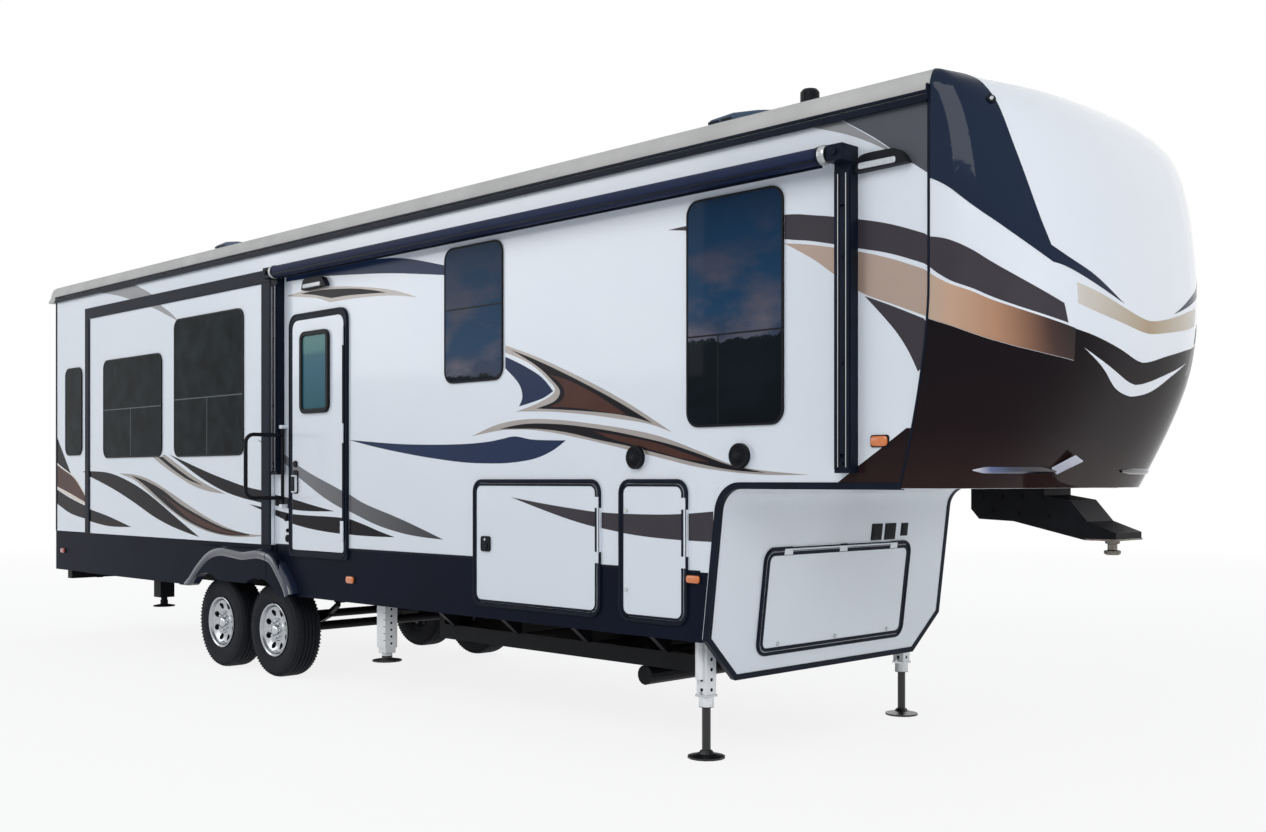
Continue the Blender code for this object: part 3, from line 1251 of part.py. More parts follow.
def make_ladder():
    """Rear ladder on the road side, from above the skirt up over the roof edge."""
    x = REAR_X - REAR_BULGE - LADDER_OFF_WALL
    low, top = LADDER_Z
    rails = [rod((x, y, low), (x, y, top), LADDER_RAIL, 8) for y in LADDER_Y]
    rungs = []
    for k in range(LADDER_RUNGS):
        z = LADDER_FIRST_RUNG_Z + LADDER_PITCH * k
        rungs.append(rod((x, LADDER_Y[0], z), (x, LADDER_Y[1], z), LADDER_RUNG, 6))
    feet = []
    for y in LADDER_Y:
        wall_x = rear_face_x(y - 0.010) - SEAT
        feet += [rod((x, y, z), (wall_x, y, z), 0.010, 6) for z in LADDER_FEET_Z]
    solid("rear_ladder", "alloy", rails[0], add=[rails[1], *rungs, *feet])


make_chassis()
make_floors()
make_walls()
make_skirts()
make_rear()
make_roof()
make_front_cap()
make_storage_front()
make_windows()
make_slides()
make_entry_door()
make_grab_handle()
make_baggage_doors()
make_awning()
make_roof_units()
make_pin_box()
make_jacks()
make_axles()
make_wheels()
make_ladder()
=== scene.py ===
"""Fifth wheel travel trailer: the finish, stripes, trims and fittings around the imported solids."""

import math

import bmesh
import bpy
from mathutils import Matrix, Vector


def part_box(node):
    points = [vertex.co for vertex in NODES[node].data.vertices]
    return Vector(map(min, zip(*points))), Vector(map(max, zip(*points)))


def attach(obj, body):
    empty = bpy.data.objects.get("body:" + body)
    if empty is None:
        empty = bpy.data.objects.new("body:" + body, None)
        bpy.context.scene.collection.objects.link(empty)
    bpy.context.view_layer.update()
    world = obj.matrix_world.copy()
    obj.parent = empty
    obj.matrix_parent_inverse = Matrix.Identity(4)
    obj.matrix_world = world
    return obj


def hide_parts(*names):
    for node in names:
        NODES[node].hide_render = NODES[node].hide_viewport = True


bl_info = {
    "name": "Fifth Wheel Travel Trailer",
    "version": (1, 0, 0),
    "blender": (4, 5, 0),
    "location": "3D View > Sidebar > Trailer",
    "description": "Builds the finish, stripes, trims and fittings of a fifth wheel travel trailer",
    "category": "Object",
}

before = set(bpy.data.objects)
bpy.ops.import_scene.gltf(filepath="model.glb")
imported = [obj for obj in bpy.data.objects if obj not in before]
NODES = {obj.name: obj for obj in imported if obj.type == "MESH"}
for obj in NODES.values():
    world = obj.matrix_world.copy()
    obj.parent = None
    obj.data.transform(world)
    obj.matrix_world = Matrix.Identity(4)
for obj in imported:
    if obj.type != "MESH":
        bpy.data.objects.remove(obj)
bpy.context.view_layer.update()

BODY = "trailer_body"
SIDES = {"door_side": -1, "road_side": 1}

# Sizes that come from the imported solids, in metres
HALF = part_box("front_cap")[1].y
SLIDE_FACE = -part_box("slide_window_front_door_side")[1].y
SKIRT_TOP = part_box("skirt_rear")[1].z
REAR_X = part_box("main_floor")[0].x - 0.060

# The front cap's own curve: rows of distance ahead of the seam and height
SEAM_X = 5.120
SEAM_SWEEP = 0.170
SEAM_BEND_Z = 2.600
OVERHANG_Z = 1.600
CROWN_Z = 3.760
SHOULDER_Z = 3.700
GUTTER_Z = 3.527
SHOULDER_IN = 0.069
SIDE_POWER = 3.0
NOSE_POWER = 2.2
CAP_THICK = 0.030
CAP_PROFILE = (
    (0.000, 3.760), (0.080, 3.748), (0.190, 3.710), (0.300, 3.656), (0.400, 3.566), (0.470, 3.450),
    (0.525, 3.280), (0.565, 3.060), (0.588, 2.800), (0.584, 2.500), (0.535, 2.240),
    (0.435, 2.010), (0.315, 1.800), (0.185, 1.600),
)
CAP_SPLIT = 5
CAP_ACROSS = 96

# The leaning front of the storage bay, with its directions down the face and out from it
BAY_TOP = Vector((3.760, 0, 1.600))
BAY_LEAN = math.radians(6.9)
BAY_DOWN = Vector((-math.sin(BAY_LEAN), 0, -math.cos(BAY_LEAN)))
BAY_AWAY = Vector((math.cos(BAY_LEAN), 0, -math.sin(BAY_LEAN)))
BAY_COVE = 0.150
BAY_KNEE = 0.886
BAY_FOOT = 1.140
BAY_FOOT_HALF = 0.939

KINGPIN_X = 5.497

# Faces that the fittings sit on, out from the wall
BAGGAGE_FACE = HALF + 0.012
DOOR_FACE = HALF + 0.016
DOOR_FRAME_FACE = HALF + 0.018

# Flare over the wheels: middle line of its rolled edge, as (x, z)
FLARE_LINE = (
    (-2.500, 0.712), (-2.420, 0.760), (-2.270, 0.880), (-2.080, 0.990), (-1.880, 1.030), (-1.690, 1.022),
    (-1.502, 1.010), (-1.350, 1.024), (-1.210, 1.030), (-1.040, 0.995), (-0.915, 0.890), (-0.820, 0.790),
    (-0.775, 0.712),
)
FLARE_FOOT_Z = 0.7065

# Lamps and speakers: places along the walls, as x0, x1, z0, z1 for the porch lamps
PORCH_LAMPS = ((4.716, 4.987, 3.235, 3.310), (-0.620, -0.320, 3.165, 3.240))
SPEAKERS_X = (3.092, 3.910)
SPEAKER_Z = 1.780
TAIL_LAMP_Y = 0.98
CAP_LAMP_Z = 3.560
LIP_Z = 1.696

# Dark rim widths of a slide-out room
SLIDE_RIM_REAR = 0.100
SLIDE_RIM_FRONT = 0.140
SLIDE_RIM_TOP = 0.110

# Thickness of one layer of film, how deep the lowest is let into its wall, and the same on the cap
FILM = 0.0008
FILM_SUNK = 0.0004
CAP_FILM_LIFT = 0.0006
CAP_FILM_SUNK = 0.001

# Points closer than this are one point
WELD = 1e-5

# Steps in each rounded corner
FRAME_CORNER_STEPS = 6
PLATE_CORNER_STEPS = 4

# Wheels and tyres
WHEEL_STEPS = 96
HUB_STEPS = 48
WHEEL_WINDOWS = 8
NUTS = 8
NUT_CIRCLE = 0.0715
BEAD_RADIUS = 0.2225
TREAD_BLOCKS = 72
GROOVES = (-0.052, -0.018, 0.018, 0.052)

# Landing legs, ladder and entry door latch
LEG_OUT = 1.029
LADDER_TREADS = 8
LATCH_X = -0.755

# The level camera of the photograph, fitted to the trailer's straight edges, and the floor
SENSOR_WIDTH = 36.0
CAMERA_LENS = 37.914
CAMERA_SHIFT = 0.0509
CAMERA_REACH = 300
CAMERA_PLACE = (8.738, -6.942, 1.642)
CAMERA_HEADING = 44.804
FLOOR_REACH = 60.0
FLOOR_Z = -0.0005


def colour(text):
    """An sRGB hex value as linear red, green, blue and alpha."""
    parts = [int(text[k:k + 2], 16) / 255 for k in (1, 3, 5)]
    return (*[c / 12.92 if c <= 0.04045 else ((c + 0.055) / 1.055) ** 2.4 for c in parts], 1.0)


# Materials


def add(tree, kind, links=None, values=None, **settings):
    """Adds a node with its settings, its input values and its links."""
    node = tree.nodes.new(kind)
    for key, value in settings.items():
        setattr(node, key, value)
    for key, value in (values or {}).items():
        node.inputs[key].default_value = value
    for key, socket in (links or {}).items():
        tree.links.new(socket, node.inputs[key])
    return node


def ramp(tree, fac, stops, blend="LINEAR"):
    node = add(tree, "ShaderNodeValToRGB", {"Fac": fac})
    node.color_ramp.interpolation = blend
    elements = node.color_ramp.elements
    for number, (place, tone) in enumerate(stops):
        element = elements[number] if number < 2 else elements.new(place)
        element.position = place
        element.color = colour(tone)
    return node.outputs["Color"]


def surface(
        name, tone, roughness, metallic=0.0, coat=0.0, coat_roughness=0.03, ior=None, second=None,
        patch_mm=400, mix=0.9, grain_mm=None, grain=0.0, wave_mm=None, wave=0.0, streak=(1, 1, 1), shine=0.5,
):
    """A coated or bare surface: colour that drifts over patches, which on the dark glass are a painted
    reflection, fine grain and slow waves.
    """
    material = bpy.data.materials.new(name)
    material.use_nodes = True
    tree = material.node_tree
    shader = tree.nodes["Principled BSDF"]
    shader.inputs["Base Color"].default_value = colour(tone)
    shader.inputs["Roughness"].default_value = roughness
    shader.inputs["Metallic"].default_value = metallic
    shader.inputs["Specular IOR Level"].default_value = shine
    shader.inputs["Coat Weight"].default_value = coat
    shader.inputs["Coat Roughness"].default_value = coat_roughness
    if ior:
        shader.inputs["IOR"].default_value = ior
    place = add(tree, "ShaderNodeTexCoord").outputs["Object"]
    if streak != (1, 1, 1):
        place = add(tree, "ShaderNodeMapping", {"Vector": place}, {"Scale": streak}).outputs["Vector"]
    # Patches of a second tone: tone that drifts at random, and on the dark glass a painted reflection
    if second:
        scale = {"Scale": 1000 / patch_mm, "Detail": 4.0}
        drift_and_painted_reflection = add(tree, "ShaderNodeTexNoise", {"Vector": place}, scale)
        tones = ramp(tree, drift_and_painted_reflection.outputs["Fac"], [(0.5 - mix / 2, tone), (0.5 + mix / 2, second)])
        tree.links.new(tones, shader.inputs["Base Color"])
    normal = None
    for size, height in ((wave_mm, wave), (grain_mm, grain)):
        if size:
            scale = {"Scale": 1000 / size, "Detail": 2.0}
            noise = add(tree, "ShaderNodeTexNoise", {"Vector": place}, scale)
            links = {"Height": noise.outputs["Fac"]}
            if normal:
                links["Normal"] = normal
            bump = add(tree, "ShaderNodeBump", links, {"Strength": 1.0, "Distance": height})
            normal = bump.outputs["Normal"]
    if normal:
        tree.links.new(normal, shader.inputs["Normal"])
        if coat:
            tree.links.new(normal, shader.inputs["Coat Normal"])
    return material


def banded(name, axis, start, end, stops, roughness, metallic=0.0, coat=0.0, shine=0.5, sharp=False):
    """A surface whose colour runs through stops along one axis, as sprayed fades do, and as painted
    reflections do on the door glass and the nose lip.
    """
    material = surface(name, stops[0][1], roughness, metallic, coat, shine=shine)
    tree = material.node_tree
    place = add(tree, "ShaderNodeTexCoord").outputs["Object"]
    split = add(tree, "ShaderNodeSeparateXYZ", {"Vector": place})
    limits = {"From Min": start, "From Max": end}
    part = add(tree, "ShaderNodeMapRange", {"Value": split.outputs[axis]}, limits)
    tones = ramp(tree, part.outputs["Result"], stops, "CONSTANT" if sharp else "LINEAR")
    tree.links.new(tones, tree.nodes["Principled BSDF"].inputs["Base Color"])
    return material


def painted_reflection_glass(name, line, reach):
    """Dark filmed glass with a painted reflection in its colour: far trees up to a height, and cloud and
    deepening sky above it.
    """
    material = surface(name, "#0a1016", 0.03, shine=0.04)
    tree = material.node_tree
    place = add(tree, "ShaderNodeTexCoord").outputs["Object"]
    height = add(tree, "ShaderNodeSeparateXYZ", {"Vector": place}).outputs["Z"]
    # Height of the painted reflection, made ragged by the painted tree crowns
    fine = {"Scale": 1000 / 90, "Detail": 7.0, "Roughness": 0.7}
    painted_tree_crowns = add(tree, "ShaderNodeTexNoise", {"Vector": place}, fine)
    painted_tree_line = add(
        tree, "ShaderNodeMath", {0: painted_tree_crowns.outputs["Fac"], 2: height}, {1: 0.16}, operation="MULTIPLY_ADD",
    ).outputs[0]
    level = add(
        tree, "ShaderNodeMapRange", {"Value": painted_tree_line}, {"From Min": line - 0.42, "From Max": line + reach},
    ).outputs["Result"]
    split = 0.50 / (0.42 + reach)
    under, over = split - 0.004, split + 0.004
    # Painted reflection: dark trees below the line and clear sky above it, with the painted clouds mixing in
    # a cloudy sky
    clear = ramp(tree, level, [
        (0.0, "#0a1117"), (under, "#0d161c"), (over, "#3a4254"), (split + 0.14, "#21415f"), (1.0, "#12304b"),
    ])
    painted_cloudy_sky = ramp(tree, level, [
        (0.0, "#0d161d"), (under, "#131c22"), (over, "#6a6672"), (split + 0.12, "#565562"), (1.0, "#1a3049"),
    ])
    flat = add(tree, "ShaderNodeMapping", {"Vector": place}, {"Scale": (0.6, 0.6, 1.4)}).outputs["Vector"]
    painted_clouds = add(tree, "ShaderNodeTexNoise", {"Vector": flat}, {"Scale": 1000 / 330, "Detail": 5.0})
    painted_cloud_mask = ramp(tree, painted_clouds.outputs["Fac"], [(0.44, "#000000"), (0.62, "#ffffff")])
    tones = add(tree, "ShaderNodeMix", {0: painted_cloud_mask, 6: clear, 7: painted_cloudy_sky}, data_type="RGBA")
    tree.links.new(tones.outputs[2], tree.nodes["Principled BSDF"].inputs["Base Color"])
    return material


def make_materials(sizes):
    """Every finish of the trailer, by its common name."""
    body = sizes.body_tone
    dark = sizes.skirt_tone
    return {
        # Sprayed gelcoat over moulded glass fibre: glossy, faintly rippled, never quite even
        "gelcoat": surface(
            "gelcoat_white", body, 0.22, coat=0.6, ior=1.5, second="#dde4ee", patch_mm=900, grain_mm=14,
            grain=0.00012, wave_mm=420, wave=0.0012,
        ),
        # Laminated glass fibre sheet: flatter than the moulded cap, with a slight ripple
        "laminate": surface(
            "laminate_white", body, 0.28, coat=0.35, ior=1.5, second="#d9e1eb", patch_mm=1300,
            grain_mm=10, grain=0.00008, wave_mm=600, wave=0.0008,
        ),
        # Baked enamel on rolled aluminium skirting: near-black navy, satin
        "skirt": surface(
            "enamel_navy", dark, 0.36, second="#171c2c", patch_mm=500, mix=0.8, grain_mm=6, grain=0.0001,
            wave_mm=300, wave=0.0008, shine=0.03,
        ),
        # Moulded flare over the wheels: navy a little lighter than the skirt as a painted highlight, and
        # polished enough to catch the sky
        "flare": surface(
            "moulded_flare_navy_painted_highlight", "#1d2538", 0.2, coat=0.9, second="#242d44", patch_mm=300, mix=0.8,
            coat_roughness=0.12, shine=0.3,
        ),
        # Rubber roof membrane brought down over the edge: pale warm grey, matt
        "membrane": surface(
            "roof_membrane", "#c9c8c5", 0.72, second="#b3b3b0", patch_mm=260, mix=0.7, grain_mm=8,
            grain=0.0006,
        ),
        # Powder coat on extruded aluminium: navy black with a soft sheen
        "trim": surface(
            "powder_coat_black", "#10151f", 0.34, second="#192030", patch_mm=160, mix=0.7, grain_mm=3,
            grain=0.00012, shine=0.06,
        ),
        # Moulded ABS, black and slightly grained
        "abs": surface(
            "abs_black", "#101217", 0.42, second="#181a20", patch_mm=90, mix=0.7, grain_mm=3,
            grain=0.00025, shine=0.1,
        ),
        # Moulded covers on the roof, navy blue, made bluer by a painted reflection of the sky
        "cover": surface(
            "abs_navy_painted_sky_reflection", "#1d4262", 0.34, second="#17364f", patch_mm=200, mix=0.8, grain_mm=4,
            grain=0.0002, shine=0.3,
        ),
        # Tempered glass with a dark film: near-black, with faint grey patches that are a painted reflection
        "glass": surface(
            "tempered_glass_dark_painted_reflection", "#0b1013", 0.03, second="#20292c", patch_mm=210, mix=0.35, shine=0.04,
        ),
        # The same glass with a painted reflection in its colour: navy sky above, mauve cloud, then a ragged
        # dark tree line
        "glass_painted_reflection_front": painted_reflection_glass("tempered_glass_painted_reflection_front", 2.44, 0.80),
        "glass_painted_reflection_middle": painted_reflection_glass("tempered_glass_painted_reflection_middle", 2.36, 0.95),
        # Painted aluminium bars of the windows, mid grey
        "bar": surface(
            "aluminium_painted_grey", "#596063", 0.4, second="#4b5255", patch_mm=60, mix=0.8, grain_mm=3,
            grain=0.0001, shine=0.2,
        ),
        # Obscured door glass: teal through a pale film, its lighter upper part a painted reflection of the
        # sky
        "door_glass": banded(
            "obscured_glass_teal_painted_reflection", "Z", 2.20, 2.80,
            [(0.0, "#35616b"), (0.55, "#376577"), (0.72, "#3a6673"), (0.78, "#547f80"), (1.0, "#608886")],
            0.16, shine=0.06,
        ),
        # Chassis paint: black, satin, dusty in patches
        "chassis": surface(
            "chassis_paint_black", "#0c0d10", 0.45, second="#18191d", patch_mm=120, mix=0.6, grain_mm=5,
            grain=0.0005, shine=0.08,
        ),
        # Bare steel of the kingpin, oiled, with darker brown patches
        "steel": surface(
            "steel_bare_oiled", "#8d8780", 0.36, metallic=1.0, second="#4c4540", patch_mm=16, mix=0.5,
            grain_mm=2, grain=0.0003,
        ),
        # Mould-cured rubber, dull black with a dusty bloom
        "rubber": surface(
            "tyre_rubber", "#15171d", 0.7, second="#202228", patch_mm=60, mix=0.8, grain_mm=4,
            grain=0.0006, shine=0.15,
        ),
        # Cast aluminium, turned bright on the face
        "alloy": surface(
            "cast_aluminium_turned", "#b9bcc0", 0.24, metallic=1.0, second="#a3a7ac", patch_mm=30,
            mix=0.8, grain_mm=2, grain=0.0001,
        ),
        # Brushed aluminium tube of the ladder
        "brushed": surface(
            "aluminium_brushed", "#b9bbbd", 0.34, metallic=1.0, second="#a2a5a8", patch_mm=40, grain_mm=3,
            grain=0.00008, streak=(1, 1, 0.06),
        ),
        # Bright plated steel
        "chrome": surface(
            "steel_plated", "#c6c9cc", 0.14, metallic=1.0, second="#b4b8bc", patch_mm=20, mix=0.8,
        ),
        # Painted leg: chalky white outer tube over a black inner leg and foot
        "leg": banded(
            "leg_paint_white_over_black", "Z", 0.0, 1.0, [(0.0, "#141518"), (0.302, "#e9ebec")], 0.42,
            coat=0.1, sharp=True,
        ),
        # Woven acrylic awning cloth on its roller; threads are drawn at 6 mm so that they show
        "cloth": surface(
            "awning_cloth_navy", "#182544", 0.6, shine=0.15, second="#111b35", patch_mm=300, mix=0.8,
            grain_mm=6, grain=0.0004, streak=(0.3, 1, 1),
        ),
        # Coated board inside
        "board": surface(
            "coated_board", "#6b6152", 0.6, second="#5d5447", patch_mm=200, mix=0.8, grain_mm=10,
            grain=0.0003,
        ),
        # Acrylic lamp lenses over a reflector
        "amber": surface(
            "acrylic_amber", "#cf5d12", 0.12, coat=1.0, ior=1.49, second="#e07c22", patch_mm=12, mix=0.8,
            grain_mm=6, grain=0.0008,
        ),
        "red": surface(
            "acrylic_red", "#8e1216", 0.12, coat=1.0, ior=1.49, second="#a8201f", patch_mm=12, mix=0.8,
            grain_mm=6, grain=0.0008,
        ),
        "clear": surface(
            "acrylic_clear", "#c9cdd0", 0.12, coat=1.0, ior=1.49, second="#aeb3b8", patch_mm=14, mix=0.8,
            grain_mm=6, grain=0.0008,
        ),
        # Cast vinyl films: one colour each, satin, or a sprayed fade
        "vinyl_navy": surface("vinyl_navy", "#1d2c4a", 0.24, second="#243556", patch_mm=500, shine=0.1),
        "vinyl_black": surface(
            "vinyl_black", "#131218", 0.22, second="#1c1b21", patch_mm=400, shine=0.08,
        ),
        "vinyl_coal": surface(
            "vinyl_charcoal", "#38353b", 0.26, second="#433f45", patch_mm=400, shine=0.12,
        ),
        # Charcoal film, lightened and blued as a painted reflection of the sky
        "vinyl_slate": surface("vinyl_slate", "#4b4d55", 0.26, second="#585a63", patch_mm=400, shine=0.2),
        "vinyl_taupe": surface(
            "vinyl_silver_taupe", "#8f8883", 0.3, metallic=0.3, coat=0.3, second="#a09a95", patch_mm=300,
        ),
        "vinyl_grey": surface(
            "vinyl_grey", "#7d7e81", 0.3, metallic=0.2, coat=0.2, second="#939599", patch_mm=500,
        ),
        # Smoke film that deepens towards its forward tip
        "vinyl_smoke": banded(
            "vinyl_smoke", "X", -1.112, 1.172, [(0.0, "#85878b"), (0.45, "#696a6e"), (1.0, "#3a3a3e")],
            0.3, 0.1, shine=0.15,
        ),
        "vinyl_brown": surface(
            "vinyl_brown", "#3a211c", 0.24, metallic=0.1, second="#52322a", patch_mm=260, shine=0.12,
        ),
        "vinyl_tan": surface(
            "vinyl_tan", "#a38d80", 0.28, metallic=0.2, coat=0.2, second="#b09a8c", patch_mm=400,
        ),
        "vinyl_cream": surface(
            "vinyl_cream", "#c6bbac", 0.3, metallic=0.2, coat=0.5, second="#dfd8ce", patch_mm=300,
        ),
        "cap_navy": surface(
            "paint_navy", "#0b1a30", 0.1, coat=0.3, second="#12263f", patch_mm=700, shine=0.03,
            wave_mm=380, wave=0.0015,
        ),
        "cap_dark": banded(
            "paint_black_brown", "Z", 1.6, 2.6, [(0.0, "#2e1f1e"), (0.3, "#1d1316"), (1.0, "#100e13")],
            0.1, coat=0.07, shine=0.03,
        ),
        # Pearl paint: pale at the seam, copper round the corner, then a sprayed fade to black
        "cap_copper": banded(
            "paint_copper", "X", 5.10, 5.64,
            [(0.0, "#bda896"), (0.25, "#c3a189"), (0.6, "#b0866a"), (0.78, "#835f4b"), (0.9, "#45302b"),
             (1.0, "#1c1517")],
            0.24, 0.1, coat=0.1, shine=0.15,
        ),
        # The pearl band across the nose, deepest in the middle
        "cap_tan": banded(
            "paint_champagne", "Y", -0.85, 0.85, [(0.0, "#d6d3cd"), (0.5, "#ab9678"), (1.0, "#d6d3cd")],
            0.25, 0.1, coat=0.2, shine=0.1,
        ),
        # Polished lip across the foot of the nose, with a painted reflection in its colour: a pale highlight
        # at its outer end, then blue, then dark
        "lip": banded(
            "polished_lip_painted_reflection", "X", 5.236, 5.362,
            [(0.0, "#dcd2d5"), (0.22, "#b4b3c2"), (0.45, "#53628a"), (0.75, "#262f4c"), (1.0, "#13121b")],
            0.2, coat=0.4, shine=0.3,
        ),
        # Fin beside the lip: satin paint, pale lavender grey
        "fin": surface(
            "satin_paint_lavender", "#b4b7c7", 0.35, coat=0.2, second="#c4c6d3", patch_mm=60, mix=0.8,
            grain_mm=3, grain=0.0001,
        ),
        "cap_white": surface(
            "gelcoat_white_cap", body, 0.18, coat=0.8, ior=1.5, second="#dfe5ee", patch_mm=900,
            wave_mm=420, wave=0.0010,
        ),
    }


MATERIALS = {}


def wear(node, key):
    """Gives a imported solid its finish."""
    mesh = NODES[node].data
    mesh.materials.clear()
    mesh.materials.append(MATERIALS[key])


# Mesh helpers


def as_mesh(bm, name):
    mesh = bpy.data.meshes.new(name)
    bm.to_mesh(mesh)
    bm.free()
    return mesh


def linked(name, data):
    item = bpy.data.objects.new(name, data)
    bpy.context.scene.collection.objects.link(item)
    return item


def evaluated(item):
    return bpy.data.meshes.new_from_object(item.evaluated_get(bpy.context.evaluated_depsgraph_get()))


def finish(bm, name, key, body=BODY, sharp=35, bevel=0.0, replaces=(), weld=True):
    """Turns a bmesh into a finished piece that rides on a body."""
    if weld:
        bmesh.ops.remove_doubles(bm, verts=bm.verts[:], dist=WELD)
    bmesh.ops.recalc_face_normals(bm, faces=bm.faces[:])
    for face in bm.faces:
        face.smooth = True
    limit = math.radians(sharp)
    for edge in bm.edges:
        edge.smooth = edge.is_manifold and edge.calc_face_angle(0.0) < limit
    mesh = as_mesh(bm, name)
    mesh.materials.append(MATERIALS[key])
    piece = linked(name, mesh)
    if bevel:
        rounding = piece.modifiers.new("rounding", "BEVEL")
        rounding.width = bevel
        rounding.segments = 2
        rounding.limit_method = "ANGLE"
        rounding.angle_limit = math.radians(40)
    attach(piece, body)
    if replaces:
        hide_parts(*replaces)


def block(bm, x0, x1, y0, y1, z0, z1, place=None):
    """A box between six planes, set in place by a function of a point."""
    made = bmesh.ops.create_cube(bm, size=1.0)["verts"]
    for vert in made:
        x = x0 + (vert.co.x + 0.5) * (x1 - x0)
        y = y0 + (vert.co.y + 0.5) * (y1 - y0)
        z = z0 + (vert.co.z + 0.5) * (z1 - z0)
        vert.co = place(x, y, z) if place else Vector((x, y, z))
    return made


def rod(bm, start, end, radius, sides=16, end_radius=None):
    """A round bar or cone between two points."""
    start, end = Vector(start), Vector(end)
    along = end - start
    turn = along.to_track_quat("Z", "Y").to_matrix().to_4x4()
    matrix = Matrix.Translation((start + end) / 2) @ turn
    return bmesh.ops.create_cone(
        bm, cap_ends=True, segments=sides, radius1=radius,
        radius2=radius if end_radius is None else end_radius, depth=along.length, matrix=matrix,
    )["verts"]


def turned(bm, outline, centre, axis="Y", steps=48):
    """Spins an outline of (distance along the axis, radius) about an axis through a centre."""
    centre = Vector(centre)
    along = {"X": Vector((1, 0, 0)), "Y": Vector((0, 1, 0)), "Z": Vector((0, 0, 1))}[axis]
    across = {"X": Vector((0, 0, 1)), "Y": Vector((1, 0, 0)), "Z": Vector((1, 0, 0))}[axis]
    verts = [bm.verts.new(centre + along * a + across * r) for a, r in outline]
    edges = [bm.edges.new(pair) for pair in zip(verts, verts[1:])]
    bmesh.ops.spin(
        bm, geom=verts + edges, cent=centre, axis=along, angle=math.tau, steps=steps, use_merge=True,
    )


def pipe(name, points, radius, key):
    """A round bead along points."""
    curve = bpy.data.curves.new(name, "CURVE")
    curve.dimensions = "3D"
    curve.bevel_depth = radius
    curve.bevel_resolution = 2
    curve.use_fill_caps = True
    spline = curve.splines.new("POLY")
    spline.points.add(len(points) - 1)
    for point, co in zip(spline.points, points):
        point.co = (*co, 1)
    guide = linked(name + "_guide", curve)
    made = evaluated(guide)
    bm = bmesh.new()
    bm.from_mesh(made)
    bpy.data.objects.remove(guide)
    bpy.data.meshes.remove(made)
    finish(bm, name, key, sharp=50)


def smooth_curve(points, split=6):
    """A smooth run through points, as sign painters' splines have."""
    points = [Vector((*p, 0)) for p in points]
    if len(points) < 3:
        return [tuple(p[:2]) for p in points]
    run = []
    for i in range(len(points) - 1):
        a, b = points[max(i - 1, 0)], points[i]
        c, d = points[i + 1], points[min(i + 2, len(points) - 1)]
        for k in range(split):
            t = k / split
            square = (2 * a - 5 * b + 4 * c - d) * t * t
            p = 0.5 * (2 * b + (c - a) * t + square + (3 * b - a - 3 * c + d) * t ** 3)
            run.append((p.x, p.y))
    run.append(tuple(points[-1][:2]))
    return run


def outline_of(runs):
    """Joins smooth runs into one closed outline with corners where they meet."""
    outline = []
    for run in runs:
        for point in smooth_curve(run):
            if not outline or (Vector(point) - Vector(outline[-1])).length > 1e-4:
                outline.append(point)
    if (Vector(outline[0]) - Vector(outline[-1])).length < 1e-4:
        outline.pop()
    return outline


def filled(bm, outline):
    """A flat filled outline in the plane z = 0."""
    verts = [bm.verts.new((a, b, 0)) for a, b in outline]
    edges = [bm.edges.new((verts[k - 1], verts[k])) for k in range(len(verts))]
    bmesh.ops.triangle_fill(bm, use_beauty=True, edges=edges)


def split_at(bm, axis, value, clear_above=False, clear_below=False):
    point = Vector((0, 0, 0))
    point[axis] = value
    normal = Vector((0, 0, 0))
    normal[axis] = 1
    geom = bm.verts[:] + bm.edges[:] + bm.faces[:]
    bmesh.ops.bisect_plane(
        bm, geom=geom, dist=1e-6, plane_co=point, plane_no=normal,
        clear_outer=clear_above, clear_inner=clear_below,
    )


def kept_within(bm, window):
    a0, a1, b0, b1 = window
    split_at(bm, 0, a1, clear_above=True)
    split_at(bm, 0, a0, clear_below=True)
    split_at(bm, 1, b1, clear_above=True)
    split_at(bm, 1, b0, clear_below=True)


def opened(bm, window):
    """Takes a rectangle out of a flat shape."""
    a0, a1, b0, b1 = window
    for axis, value in ((0, a0), (0, a1), (1, b0), (1, b1)):
        split_at(bm, axis, value)
    middles = [(face, face.calc_center_median()) for face in bm.faces]
    inside = [face for face, middle in middles if a0 < middle.x < a1 and b0 < middle.y < b1]
    bmesh.ops.delete(bm, geom=inside, context="FACES")


def thickened(bm, depth):
    """Gives a flat shape its thickness upwards from z = 0."""
    made = bmesh.ops.extrude_face_region(bm, geom=bm.faces[:])["geom"]
    for item in made:
        if isinstance(item, bmesh.types.BMVert):
            item.co.z += depth


def rounded_loop(bm, a0, a1, b0, b1, radius, split):
    """A rounded rectangle face, made from a circle whose quarters move apart."""
    count = 4 * (split + 1)
    verts = bmesh.ops.create_circle(bm, cap_ends=True, segments=count, radius=1.0)["verts"]
    left, right, low, high = a0 + radius, a1 - radius, b0 + radius, b1 - radius
    centres = [(right, high), (left, high), (left, low), (right, low)]
    for number, vert in enumerate(verts):
        quarter, step = divmod(number, split + 1)
        angle = (quarter + step / split) * math.pi / 2
        a, b = centres[quarter]
        vert.co = Vector((a + radius * math.cos(angle), b + radius * math.sin(angle), 0))
    return verts[0].link_faces[0]


def ring(bm, a0, a1, b0, b1, radius, width, depth):
    """A flat frame of even width round a rounded rectangle, raised by its depth."""
    face = rounded_loop(bm, a0, a1, b0, b1, radius, FRAME_CORNER_STEPS)
    bmesh.ops.inset_region(bm, faces=[face], thickness=width, use_even_offset=True, use_boundary=True)
    bmesh.ops.delete(bm, geom=[face], context="FACES_ONLY")
    thickened(bm, depth)


def plate(bm, a0, a1, b0, b1, radius, depth):
    rounded_loop(bm, a0, a1, b0, b1, radius, PLATE_CORNER_STEPS)
    thickened(bm, depth)


